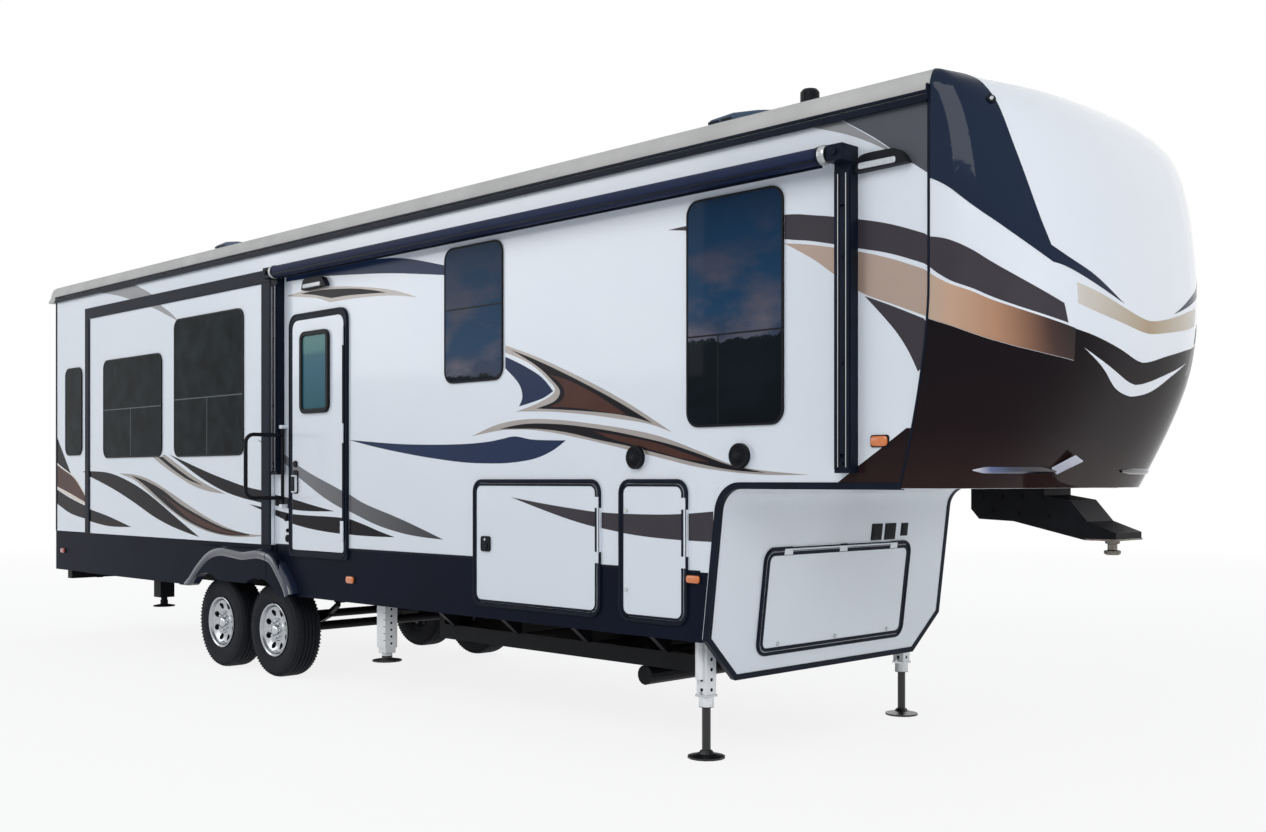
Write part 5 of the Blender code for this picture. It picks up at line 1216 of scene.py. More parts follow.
def make_window_trims():
    """Clamp frames, sliding bars and dividers of every window."""
    bars = {
        # node: (height of the bar, x of the divider below it)
        "slide_window_rear_door_side": (2.335, -3.690),
        "slide_window_front_door_side": (2.375, -2.180),
        "slide_window_front_road_side": (2.375, -2.180),
        "window_middle_door_side": (2.830, None),
        "window_front_door_side": (2.470, 3.745),
        "window_front_road_side": (2.470, 3.745),
        "window_rear_door_side": (None, None),
    }
    for node, (bar, divider) in bars.items():
        side = -1 if node.endswith("door_side") else 1
        tag = "door_side" if side < 0 else "road_side"
        body = f"slide_room_{tag}" if node.startswith("slide") else BODY
        x0, x1, z0, _ = node_window(node)
        face = max(abs(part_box(node)[0].y), abs(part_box(node)[1].y))
        framed(
            f"{node}_trim", "abs", node_window(node, 0.003), 0.088, 0.013, 0.013, on_side(side, face),
            -0.0102, 0.0012, body, weld=False,
        )
        if bar:
            bm = bmesh.new()
            y0 = side * (face - 0.001)
            block(bm, x0 + 0.010, x1 - 0.010, y0, side * (face + 0.0016), bar - 0.0045, bar + 0.0045)
            if divider:
                y1 = side * (face + 0.0014)
                block(bm, divider - 0.004, divider + 0.004, y0, y1, z0 + 0.010, bar - 0.003)
            finish(bm, f"{node}_bars", "bar" if node.startswith("slide") else "abs", body, weld=False)
    low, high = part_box("window_rear")
    framed(
        "window_rear_trim", "abs", (low.y - 0.003, high.y + 0.003, low.z - 0.003, high.z + 0.003),
        0.088, 0.014, 0.012, lambda a, b, out: Vector((low.x - out, a, b)), -0.009, 0.0012,
    )
    framed(
        "entry_door_glass_trim", "abs", node_window("entry_door_glass", 0.012), 0.066, 0.036, 0.024,
        on_side(-1, -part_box("entry_door_glass")[1].y), -0.0005, 0.004, "entry_door",
    )


def make_door_trims():
    """Black frames and latches of the baggage doors, the front hatch and the entry door."""
    for node in [n for n in NODES if n.startswith("baggage_door")]:
        side = -1 if node.endswith("door_side") else 1
        tag = node[len("baggage_door_"):]
        frame_line = baggage_window(node, 0.028)
        framed(f"bay_frame_{tag}", "trim", frame_line, 0.085, 0.022, 0.016, on_side(side), -0.0005, 0.004)
        panel = baggage_window(node, -0.001)
        on_door = on_side(side, BAGGAGE_FACE)
        framed(f"bay_edge_{tag}", "trim", panel, 0.058, 0.015, 0.004, on_door, -0.0005, 0.001, node)
        bm = bmesh.new()
        if "large" in tag:
            cx, cz = panel[0] + 0.118, 1.213
            plate(bm, cx - 0.048, cx + 0.048, cz - 0.052, cz + 0.052, 0.018, 0.014)
            placed(bm, on_door, -0.001)
            grip = cz - 0.014
            rod(bm, (cx, side * (HALF + 0.022), grip), (cx, side * (HALF + 0.031), grip), 0.028, 28)
            finish(bm, f"bay_latch_{tag}", "abs", node, bevel=0.0015, weld=False)
            bm = bmesh.new()
            key = cz + 0.030
            rod(bm, (cx, side * (HALF + 0.023), key), (cx, side * (HALF + 0.029), key), 0.009, 20)
            finish(bm, f"bay_lock_{tag}", "chrome", node, bevel=0.001, weld=False)
        else:
            x = panel[0] + 0.040
            for z in (0.98, 1.46):
                rod(bm, (x, side * (HALF + 0.011), z), (x, side * (HALF + 0.022), z), 0.013, 24)
            finish(bm, f"bay_latch_{tag}", "chrome", node, bevel=0.0015, weld=False)

    def down(z):
        return (BAY_TOP.z - z) / math.cos(BAY_LEAN)

    window = (-0.775, 0.775, down(1.242), down(0.585))
    framed("hatch_frame", "trim", window, 0.085, 0.021, 0.016, on_bay, -0.0005, 0.004)
    window = (-0.748, 0.748, down(1.213), down(0.611))
    framed("hatch_edge", "trim", window, 0.060, 0.022, 0.005, on_bay, 0.0095, 0.0015, "front_hatch")
    bm = bmesh.new()
    for y in (-0.58, 0.0, 0.58):
        at = down(0.652)
        rod(bm, on_bay(y, at, 0.009), on_bay(y, at, 0.019), 0.014, 24)
        block(bm, y - 0.004, y + 0.004, at - 0.012, at + 0.012, 0.018, 0.022, on_bay)
    finish(bm, "hatch_locks", "chrome", "front_hatch", bevel=0.001, weld=False)
    bm = bmesh.new()
    for y0, y1, top, low in (
        (0.307, 0.424, 1.360, 1.252), (0.459, 0.580, 1.360, 1.252), (0.645, 0.722, 1.358, 1.272),
    ):
        block(bm, y0, y1, down(top), down(low), -0.001, 0.006, on_bay)
        for k in range(6):
            level = down(top - 0.010 - (top - low - 0.020) * k / 6)
            block(bm, y0 + 0.008, y1 - 0.008, level, level + 0.007, 0.005, 0.010, on_bay)
    finish(bm, "bay_vents", "abs", bevel=0.001, weld=False)

    bm = bmesh.new()
    plate(bm, LATCH_X - 0.037, LATCH_X + 0.037, 1.535, 1.725, 0.020, 0.010)
    placed(bm, on_side(-1, DOOR_FACE), -0.0005)
    rod(bm, (LATCH_X, -DOOR_FACE + 0.001, 1.775), (LATCH_X, -DOOR_FACE - 0.014, 1.775), 0.026, 24)
    block(bm, LATCH_X - 0.022, LATCH_X + 0.022, -DOOR_FACE - 0.034, -DOOR_FACE - 0.026, 1.556, 1.674)
    finish(bm, "entry_latch", "abs", "entry_door", bevel=0.002, weld=False)
    frame_line = node_window("entry_door_frame", -0.003)
    lip_place = on_side(-1, DOOR_FRAME_FACE)
    framed("entry_frame_lip", "trim", frame_line, 0.100, 0.013, 0.0055, lip_place, -0.001, 0.002)
    bm = bmesh.new()
    for x, z, r in ((-0.930, 1.340, 0.030), (-0.905, 1.170, 0.030), (-0.905, 1.235, 0.016)):
        rod(bm, (x, -HALF + 0.001, z), (x, -HALF - 0.010, z), r, 28)
        rod(bm, (x, -HALF - 0.009, z), (x, -HALF - 0.016, z), r * 0.6, 20)
    finish(bm, "side_ports", "abs", bevel=0.0015, weld=False)


def make_awning():
    """Cloth roll, its cast ends and the folded arms' details."""
    low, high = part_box("awning_roller")
    y, z = (low.y + high.y) / 2, (low.z + high.z) / 2
    bm = bmesh.new()
    bmesh.ops.create_cone(bm, cap_ends=True, segments=48, radius1=0.0462, radius2=0.0462, depth=1.0)
    for vert in bm.verts:
        x = low.x + 0.062 + (vert.co.z + 0.5) * (high.x - low.x - 0.124)
        vert.co = Vector((x, y + vert.co.x, z + vert.co.y))
    finish(bm, "awning_cloth", "cloth")
    bm = bmesh.new()
    block(bm, low.x + 0.065, high.x - 0.065, y + 0.030, y + 0.034, z - 0.055, z + 0.020)
    block(bm, low.x + 0.065, high.x - 0.065, y - 0.046, y - 0.034, z - 0.034, z - 0.020)
    finish(bm, "awning_rail", "trim", bevel=0.002)
    for tag, x in (("rear", low.x + 0.030), ("front", high.x - 0.030)):
        bm = bmesh.new()
        profile = [
            (-0.026, 0.012), (-0.024, 0.044), (-0.012, 0.0515),
            (0.012, 0.0515), (0.024, 0.044), (0.026, 0.012),
        ]
        turned(bm, profile, (x, y, z), "X", 48)
        for k in range(24):
            angle = math.tau * k / 24
            offset = Vector((0, math.cos(angle), math.sin(angle))) * 0.0515
            at = Vector((x, y, z)) + offset
            rod(bm, at - Vector((0.009, 0, 0)), at + Vector((0.009, 0, 0)), 0.0022, 8)
        finish(bm, f"awning_end_{tag}", "brushed", weld=False)
    for tag in ("rear", "front"):
        low_arm, high_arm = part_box(f"awning_arm_{tag}")
        bm = bmesh.new()
        face = -(HALF + 0.065)
        x0, x1 = low_arm.x, high_arm.x
        for x in (x0 + 0.006, x1 - 0.020):
            block(bm, x, x + 0.014, face - 0.012, face + 0.002, low_arm.z + 0.02, high_arm.z - 0.13)
        block(bm, x0 + 0.038, x1 - 0.038, face - 0.006, face + 0.016, low_arm.z + 0.10, high_arm.z - 0.31)
        middle = (x0 + x1) / 2
        for level in (low_arm.z + 0.050, 2.250, 2.800):
            rod(bm, (middle, face - 0.016, level), (middle, face + 0.004, level), 0.009, 16)
        rod(bm, (middle, y - 0.046, z), (middle, y + 0.060, z), 0.018, 20)
        finish(bm, f"awning_arm_rails_{tag}", "trim", bevel=0.0015, weld=False)
        bm = bmesh.new()
        for x in (x0 + 0.024, x1 - 0.029):
            block(bm, x, x + 0.005, face - 0.008, face + 0.001, low_arm.z + 0.03, high_arm.z - 0.14)
        finish(bm, f"awning_arm_lines_{tag}", "brushed", weld=False)


def lens(bm, a0, a1, b0, b1, place, depth):
    """A domed lens on a wall: a plate whose face steps in twice."""
    part = bmesh.new()
    narrow = min(a1 - a0, b1 - b0)
    plate(part, a0, a1, b0, b1, narrow * 0.35, depth * 0.6)
    top = [f for f in part.faces if f.calc_center_median().z > depth * 0.5 and abs(f.normal.z) > 0.5]
    for step in (0.3, 0.1):
        bmesh.ops.inset_region(part, faces=top, thickness=narrow * 0.10, use_even_offset=True)
        for vert in {v for f in top for v in f.verts}:
            vert.co.z += depth * step
    placed(part, place)
    mesh = as_mesh(part, "lens")
    bm.from_mesh(mesh)
    bpy.data.meshes.remove(mesh)


def make_lamps():
    """Marker, porch, tail, reversing and cap lamps, and the outside speakers."""
    markers = {
        # name: (x, z, half width, half height, outer face, finish)
        "nose": (4.833, 1.843, 0.050, 0.026, HALF, "amber"),
        "front": (3.552, 1.070, 0.050, 0.022, HALF + 0.0002, "amber"),
        "middle": (0.010, 0.881, 0.050, 0.026, HALF, "amber"),
        "rear": (-5.373, 0.907, 0.045, 0.022, HALF, "red"),
    }
    for tag, side in SIDES.items():
        for name, (x, z, w, h, face, key) in markers.items():
            base = bmesh.new()
            plate(base, x - w - 0.006, x + w + 0.006, z - h - 0.006, z + h + 0.006, 0.014, 0.008)
            placed(base, on_side(side, face), -0.002)
            finish(base, f"marker_base_{name}_{tag}", "abs", bevel=0.001)
            bm = bmesh.new()
            lens(bm, x - w, x + w, z - h, z + h, on_side(side, face + 0.005), 0.016)
            finish(bm, f"marker_{name}_{tag}", key, weld=False)
    for number, (x0, x1, z0, z1) in enumerate(PORCH_LAMPS, 1):
        bm = bmesh.new()
        middle = (x0 + x1) / 2
        filled(bm, outline_of((
            ((x1 + 0.040, z0 - 0.002), (x0 - 0.010, z0 - 0.008)),
            (
                (x0 - 0.010, z0 - 0.008), (x0 + 0.008, z1 - 0.022), (x0 + 0.040, z1 + 0.002),
                (middle, z1 + 0.006), (x1 - 0.040, z1 + 0.002), (x1 + 0.006, z1 - 0.026),
                (x1 + 0.040, z0 - 0.002),
            ),
        )))
        thickened(bm, 0.048)
        placed(bm, on_side(-1), -0.0005)
        finish(bm, f"porch_lamp_{number}", "abs", bevel=0.004)
        bm = bmesh.new()
        lens(bm, x0 + 0.016, x1 - 0.030, z0 + 0.004, z0 + 0.036, on_side(-1, HALF + 0.0465), 0.006)
        finish(bm, f"porch_lens_{number}", "clear", weld=False)
    profile = [
        (-0.014, 0.0), (-0.014, 0.0712), (-0.036, 0.0705), (-0.0405, 0.066), (-0.037, 0.060),
        (-0.0335, 0.050), (-0.033, 0.044), (-0.036, 0.038), (-0.037, 0.022), (-0.043, 0.016),
        (-0.045, 0.008), (-0.045, 0.0),
    ]
    for number, x in enumerate(SPEAKERS_X, 1):
        bm = bmesh.new()
        turned(bm, profile, (x, -HALF + 0.006, SPEAKER_Z), "Y", 48)
        for k in range(16):
            angle = math.tau * k / 16
            a, b = [
                Vector((x + r * math.cos(angle), -HALF - out, SPEAKER_Z + r * math.sin(angle)))
                for r, out in ((0.018, 0.033), (0.058, 0.030))
            ]
            rod(bm, a, b, 0.0022, 8)
        finish(bm, f"speaker_grille_{number}", "abs", weld=False)
    for tag, side in SIDES.items():
        centre = side * TAIL_LAMP_Y
        bow = rear_face(centre)
        base = bmesh.new()
        plate(base, centre - 0.085, centre + 0.085, 1.180, 1.440, 0.03, 0.018)
        placed(base, lambda a, b, out: Vector((bow - out, a, b)), -0.012)
        finish(base, f"tail_lamp_base_{tag}", "abs", bevel=0.003)
        y0, y1 = centre - 0.072, centre + 0.072
        for name, key, z0, z1, depth in (
            ("tail_lamp", "red", 1.262, 1.427, 0.022), ("reversing_lamp", "clear", 1.193, 1.252, 0.018),
        ):
            bm = bmesh.new()
            lens(bm, y0, y1, z0, z1, lambda a, b, out: Vector((bow - 0.004 - out, a, b)), depth)
            finish(bm, f"{name}_{tag}", key, weld=False)
    bm = bmesh.new()
    for y in (-0.22, 0.0, 0.22):
        bow = rear_face(y)
        lens(bm, y - 0.045, y + 0.045, 3.560, 3.590, lambda a, b, out: Vector((bow - out, a, b)), 0.016)
    finish(bm, "roof_marker_rear", "red", weld=False)
    for tag, side in SIDES.items():
        at = cap_point(side * 0.60, CAP_LAMP_Z)
        away = (cap_point(side * 0.60, CAP_LAMP_Z, 0.02) - at).normalized()
        bm = bmesh.new()
        rod(bm, at - away * 0.004, at + away * 0.010, 0.024, 28)
        finish(bm, f"cap_lamp_base_{tag}", "abs", weld=False)
        bm = bmesh.new()
        rod(bm, at + away * 0.006, at + away * 0.018, 0.013, 24, 0.008)
        finish(bm, f"cap_lamp_{tag}", "chrome", weld=False)


def rear_face(y):
    """Outer x of the bowed rear wall at a distance from the middle, read off its solid."""
    verts = [v.co for v in NODES["rear_wall"].data.vertices if v.co.z < 3.4 and v.co.z != 1.3]
    return min(verts, key=lambda co: (abs(co.y - y) > 0.12, co.x)).x


def make_roof_details():
    """Moulded covers of the air conditioners, falling to the front, with their louvres."""
    profile = (
        (0.000, 0.000), (0.000, 0.180), (0.045, 0.262), (0.240, 0.2745), (0.450, 0.252), (0.680, 0.208),
        (0.880, 0.150), (0.975, 0.085), (0.980, 0.000),
    )
    for tag in ("front", "rear"):
        node = f"air_conditioner_{tag}"
        low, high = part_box(node)
        bm = bmesh.new()
        filled(bm, [(low.x + a, low.z + b) for a, b in profile])
        thickened(bm, high.y - low.y)
        placed(bm, lambda a, b, out: Vector((a, low.y + out, b)))
        finish(bm, f"roof_unit_cover_{tag}", "cover", sharp=24, bevel=0.022, replaces=(node,))
        bm = bmesh.new()
        for side in (-1, 1):
            face = side * high.y
            for column in (0.030, 0.142):
                for row in range(6):
                    x = low.x + column
                    z = low.z + 0.105 + row * 0.025
                    block(bm, x + 0.012 * (row > 4), x + 0.100, face - 0.004, face + 0.004, z, z + 0.013)
            for k in range(7):
                x = low.x + 0.300 + k * 0.070
                block(bm, x, x + 0.045, face - 0.004, face + 0.003, low.z + 0.030, low.z + 0.090)
        for k in range(6):
            z = low.z + 0.030 + k * 0.022
            block(bm, low.x - 0.0005, low.x + 0.004, low.y + 0.05, high.y - 0.05, z, z + 0.010)
        finish(bm, f"roof_unit_louvres_{tag}", "abs", weld=False)


def make_wheels():
    """Cast wheels with eight windows, nuts and a cap, and treaded tyres."""
    for row in ("front", "rear"):
        for tag, side in SIDES.items():
            low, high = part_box(f"tyre_{row}_{tag}")
            hub = (low + high) / 2
            make_tyre(f"{row}_{tag}", hub, (high.z - low.z) / 2, (high.y - low.y) / 2)
            make_wheel(f"{row}_{tag}", hub, side)


def make_tyre(place, hub, radius, half):
    """Sidewalls with three raised rings, four grooves and blocks on the shoulders."""
    bead = BEAD_RADIUS
    wall = [
        # half width, radius: from the bead over the sidewall to the edge of the tread
        (0.100, bead), (0.106, bead + 0.010), (0.112, bead + 0.022), (half - 0.002, bead + 0.065),
        (half, bead + 0.085), (half - 0.001, bead + 0.105), (0.1085, radius - 0.036),
        (0.1055, radius - 0.022), (0.098, radius - 0.011), (0.088, radius - 0.005), (0.074, radius - 0.0022),
    ]
    groove = ((-0.006, 0.0006), (-0.0045, 0.010), (0.0045, 0.010), (0.006, 0.0006))
    outline = [(-a, r) for a, r in wall]
    for centre in GROOVES:
        outline += [(centre + a, radius - deep) for a, deep in groove]
    bm = bmesh.new()
    turned(bm, outline + wall[::-1], hub, steps=WHEEL_STEPS)
    seat = bead - 0.006
    turned(bm, [(0.100, bead), (0.100, seat), (-0.100, seat), (-0.100, bead)], hub, steps=WHEEL_STEPS)
    for k in range(TREAD_BLOCKS):
        turn = Matrix.Translation(hub) @ Matrix.Rotation(math.tau * k / TREAD_BLOCKS, 4, "Y")
        for edge in (-0.1035, 0.1035):
            made = block(bm, -0.0055, 0.0055, edge - 0.0075, edge + 0.0075, radius - 0.034, radius - 0.0165)
            bmesh.ops.transform(bm, matrix=turn, verts=made)
    for level, face in ((0.262, 0.1145), (0.300, half), (0.338, 0.1148)):
        for edge in (-1, 1):
            foot = edge * (face - 0.004)
            bead_line = [(foot, level - 0.004), (edge * face, level), (foot, level + 0.004)]
            turned(bm, bead_line, hub, steps=WHEEL_STEPS)
    finish(bm, f"tyre_rubber_{place}", "rubber", f"wheel_{place}", sharp=32, replaces=(f"tyre_{place}",))


def make_wheel(place, hub, side):
    """The cast wheel: barrel, dished face with eight windows, bright lip, nuts and hub cap."""
    body = f"wheel_{place}"

    def spun(bm, points, steps):
        turned(bm, [(side * a, r) for a, r in points], hub, steps=steps)

    bm = bmesh.new()
    spun(bm, (
        # barrel, as distance out from the hub and radius
        (0.100, 0.2165), (0.113, 0.2215), (0.116, 0.2170), (0.108, 0.2060), (0.088, 0.1990),
        (0.070, 0.1900), (0.020, 0.1860), (-0.088, 0.1960), (-0.110, 0.2165), (-0.100, 0.2165),
        (-0.080, 0.2030), (0.020, 0.1930), (0.080, 0.2000), (0.100, 0.2165),
    ), WHEEL_STEPS)
    barrel = as_mesh(bm, "barrel")
    bm = bmesh.new()
    spun(bm, (
        # dished face
        (0.040, 0.0), (0.040, 0.190), (0.060, 0.1935), (0.086, 0.1945), (0.092, 0.188), (0.088, 0.176),
        (0.072, 0.150), (0.066, 0.120), (0.070, 0.098), (0.078, 0.090), (0.080, 0.060), (0.080, 0.0),
    ), WHEEL_STEPS)
    bmesh.ops.remove_doubles(bm, verts=bm.verts[:], dist=WELD)
    bmesh.ops.recalc_face_normals(bm, faces=bm.faces[:])
    disc = linked("disc", as_mesh(bm, "disc"))
    bm = bmesh.new()
    for k in range(WHEEL_WINDOWS):
        made = bmesh.ops.create_cone(
            bm, cap_ends=True, segments=24, radius1=0.024, radius2=0.024, depth=0.2,
        )["verts"]
        for vert in made:
            wide = 1.0 if vert.co.y < 0 else 1.15
            vert.co = Vector((vert.co.x * wide, vert.co.z, vert.co.y * 1.15))
        spoke = Matrix.Rotation(math.tau * (k + 0.5) / WHEEL_WINDOWS, 4, "Y")
        spoke = spoke @ Matrix.Translation((0, side * 0.07, 0.146))
        bmesh.ops.transform(bm, matrix=Matrix.Translation(hub) @ spoke, verts=made)
    bmesh.ops.recalc_face_normals(bm, faces=bm.faces[:])
    windows = linked("windows", as_mesh(bm, "windows"))
    cut = disc.modifiers.new("windows", "BOOLEAN")
    cut.object = windows
    cut.solver = "EXACT"
    face = evaluated(disc)
    bm = bmesh.new()
    bm.from_mesh(face)
    bm.from_mesh(barrel)
    spent = (barrel, face, disc.data, windows.data)
    for item in (disc, windows):
        bpy.data.objects.remove(item)
    for item in spent:
        bpy.data.meshes.remove(item)
    finish(bm, f"wheel_cast_{place}", "alloy", body, sharp=28, replaces=(body,), weld=False)
    bm = bmesh.new()
    spun(bm, (
        (0.078, 0.046), (0.088, 0.045), (0.106, 0.040), (0.1145, 0.030), (0.1165, 0.014), (0.1165, 0.0),
    ), HUB_STEPS)
    finish(bm, f"hub_cap_{place}", "chrome", body)
    bm = bmesh.new()
    for k in range(NUTS):
        angle = math.tau * k / NUTS
        at = hub + Vector((math.sin(angle), 0, math.cos(angle))) * NUT_CIRCLE
        for y0, y1, radius, sides, end in (
            # washer, nut, then the rounded end of its stud
            (0.076, 0.082, 0.0125, 24, None), (0.080, 0.098, 0.0095, 6, None),
            (0.098, 0.103, 0.0088, 12, 0.0045),
        ):
            rod(bm, at + Vector((0, side * y0, 0)), at + Vector((0, side * y1, 0)), radius, sides, end)
    finish(bm, f"wheel_nuts_{place}", "chrome", body, weld=False)
    bm = bmesh.new()
    at = hub + Vector((0.0, 0, -0.176))
    rod(bm, at + Vector((0, side * 0.080, 0)), at + Vector((0, side * 0.108, 0)), 0.004, 12)
    finish(bm, f"wheel_valve_{place}", "rubber", body)
    bm = bmesh.new()
    spun(bm, ((0.010, 0.0), (0.010, 0.155), (0.034, 0.155), (0.034, 0.0)), HUB_STEPS)
    finish(bm, f"brake_drum_{place}", "chassis", body)


def make_gear_details():
    """Holes, pins, collars and marks of the legs, coupling bolts, the kingpin and the ladder's treads."""
    for tag, side in SIDES.items():
        low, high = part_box(f"jack_front_{tag}")
        centre = Vector(((low.x + high.x) / 2, side * LEG_OUT, 0))
        bm = bmesh.new()
        for k in range(6):
            z = 0.405 + k * 0.060
            for away in (Vector((0, -1, 0)), Vector((1, 0, 0))):
                at = centre + away * 0.0405 + Vector((0, 0, z))
                rod(bm, at, at + away * 0.0012, 0.011, 20)
        finish(bm, f"leg_holes_{tag}", "abs", weld=False)
        bm = bmesh.new()
        z = 0.385
        rod(bm, centre + Vector((0, -0.062, z)), centre + Vector((0, 0.062, z)), 0.008, 16)
        block(bm, centre.x - 0.047, centre.x + 0.047, centre.y - 0.047, centre.y + 0.047, 0.362, 0.376)
        finish(bm, f"leg_pin_{tag}", "chrome", bevel=0.001, weld=False)
    bm = bmesh.new()
    for side in (-1, 1):
        face = side * 0.155
        for x, z in (
            (4.80, 1.55), (4.92, 1.55), (5.04, 1.55), (5.16, 1.55), (4.86, 1.47), (5.02, 1.46), (5.20, 1.44),
        ):
            rod(bm, (x, face - side * 0.002, z), (x, face + side * 0.010, z), 0.014, 6)
    finish(bm, "coupling_bolts", "chassis", weld=False)
    bm = bmesh.new()
    steps = [
        (0.000, 0.0), (0.000, 0.034), (0.008, 0.044), (0.022, 0.044), (0.026, 0.0255), (0.058, 0.0255),
        (0.062, 0.038), (0.0815, 0.040), (0.0815, 0.0),
    ]
    turned(bm, steps, (KINGPIN_X, 0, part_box("pin_box")[0].z - 0.0005), "Z", 48)
    finish(bm, "kingpin_sleeve", "steel", sharp=30)
    bm = bmesh.new()
    block(bm, 5.412, 5.5930, -0.1590, 0.1590, 1.3205, 1.3300)
    finish(bm, "coupling_edge", "steel", bevel=0.001)
    for tag, side in SIDES.items():
        low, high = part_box(f"jack_middle_{tag}")
        centre = Vector(((low.x + high.x) / 2, (low.y + high.y) / 2, 0))
        bm = bmesh.new()
        block(bm, centre.x - 0.047, centre.x + 0.047, centre.y - 0.047, centre.y + 0.047, 0.324, 0.368)
        finish(bm, f"leg_collar_{tag}", "leg", bevel=0.004)
        bm = bmesh.new()
        for k in range(6):
            z = 0.400 + k * 0.052
            rod(bm, (centre.x + 0.054, centre.y, z), (centre.x + 0.0562, centre.y, z), 0.009, 16)
            y = centre.y - 0.0555
            block(bm, centre.x + 0.030, centre.x + 0.0555, y, centre.y - 0.052, z + 0.024, z + 0.028)
        finish(bm, f"leg_marks_{tag}", "abs", weld=False)
    low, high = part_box("rear_ladder")
    bm = bmesh.new()
    for k in range(LADDER_TREADS):
        z = 1.22 + 0.30 * k
        block(bm, low.x - 0.002, low.x + 0.030, 0.560, 0.840, z + 0.006, z + 0.018)
    finish(bm, "ladder_treads", "rubber", bevel=0.002, weld=False)


def make_cap_blade():
    """The polished lip across the foot of the nose on both sides, and the fin at its end."""
    for tag, side in SIDES.items():
        sections = []
        for k in range(25):
            part = k / 24
            across = side * (0.556 - 0.440 * part)
            tall = 0.0175 * min(0.12 + part * 5, 1) * min(1, 0.35 + (1 - part) * 4)
            proud = 0.016 * min(0.15 + part * 3, 1)
            sections.append([
                cap_point(across, LIP_Z + tall * math.cos(turn), -0.002 + max(proud * math.sin(turn), 0))
                for turn in (math.pi * step / 8 for step in range(9))
            ] + [cap_point(across, LIP_Z, -0.006)])
        bm = bmesh.new()
        swept(bm, sections)
        finish(bm, f"nose_lip_{tag}", "lip", sharp=60)
        if side > 0:
            # The fin stands beside the lip on the door side only
            continue
        corners = {
            # (along the fin, across it): (across the cap, height, out)
            (0, 0): (0.140, 1.712, 0.004), (1, 0): (0.090, 1.792, 0.030),
            (1, 1): (0.052, 1.766, 0.034), (0, 1): (0.105, 1.684, 0.008),
        }
        bm = bmesh.new()
        bmesh.ops.create_grid(bm, x_segments=6, y_segments=2, size=0.5)
        for vert in bm.verts:
            a, b = vert.co.x + 0.5, vert.co.y + 0.5
            mix = Vector((0, 0, 0))
            for (along, over), spot in corners.items():
                mix += Vector(spot) * (a if along else 1 - a) * (b if over else 1 - b)
            vert.co = cap_point(side * mix.x, mix.y, mix.z)
        bmesh.ops.solidify(bm, geom=bm.verts[:] + bm.edges[:] + bm.faces[:], thickness=0.007)
        finish(bm, f"nose_fin_{tag}", "fin", bevel=0.001)


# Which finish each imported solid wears, by the start of its name; a later row goes before an earlier one
CAD_FINISHES = (
    ("wall_", "laminate"), ("rear_wall", "gelcoat"), ("front_cap", "gelcoat"),
    ("storage_front_wall", "laminate"), ("front_hatch", "laminate"), ("entry_door", "laminate"),
    ("baggage_door", "laminate"), ("slide_room", "laminate"), ("skirt_", "skirt"),
    ("slide_skirt", "skirt"), ("roof", "membrane"), ("entry_door_frame", "trim"), ("awning_arm", "trim"),
    ("awning_roller", "trim"), ("air_conditioner", "cover"), ("roof_vent", "abs"), ("window_", "glass"),
    ("window_front", "glass_painted_reflection_front"), ("window_middle", "glass_painted_reflection_middle"), ("slide_window", "glass"),
    ("entry_door_glass", "door_glass"), ("chassis_frame", "chassis"), ("axle_", "chassis"),
    ("pin_box", "chassis"), ("jack_", "leg"), ("jack_rear", "chassis"), ("grab_handle", "abs"),
    ("rear_ladder", "brushed"), ("main_floor", "board"), ("upper_floor", "board"), ("tyre_", "rubber"),
    ("wheel_", "alloy"),
)


def make_finishes():
    for node in NODES:
        keys = [key for start, key in CAD_FINISHES if node.startswith(start)]
        wear(node, keys[-1])


def look_at(lamp, target):
    lamp.rotation_euler = (Vector(target) - lamp.location).to_track_quat("-Z", "Y").to_euler()


def plainly_seen(tree):
    """1 for the rays that show the surroundings: from the camera, off metal and through glass."""
    path = add(tree, "ShaderNodeLightPath")
    seen = path.outputs["Is Camera Ray"]
    for kind in ("Is Glossy Ray", "Is Transmission Ray"):
        seen = add(tree, "ShaderNodeMath", {0: seen, 1: path.outputs[kind]}, operation="MAXIMUM").outputs[0]
    return seen


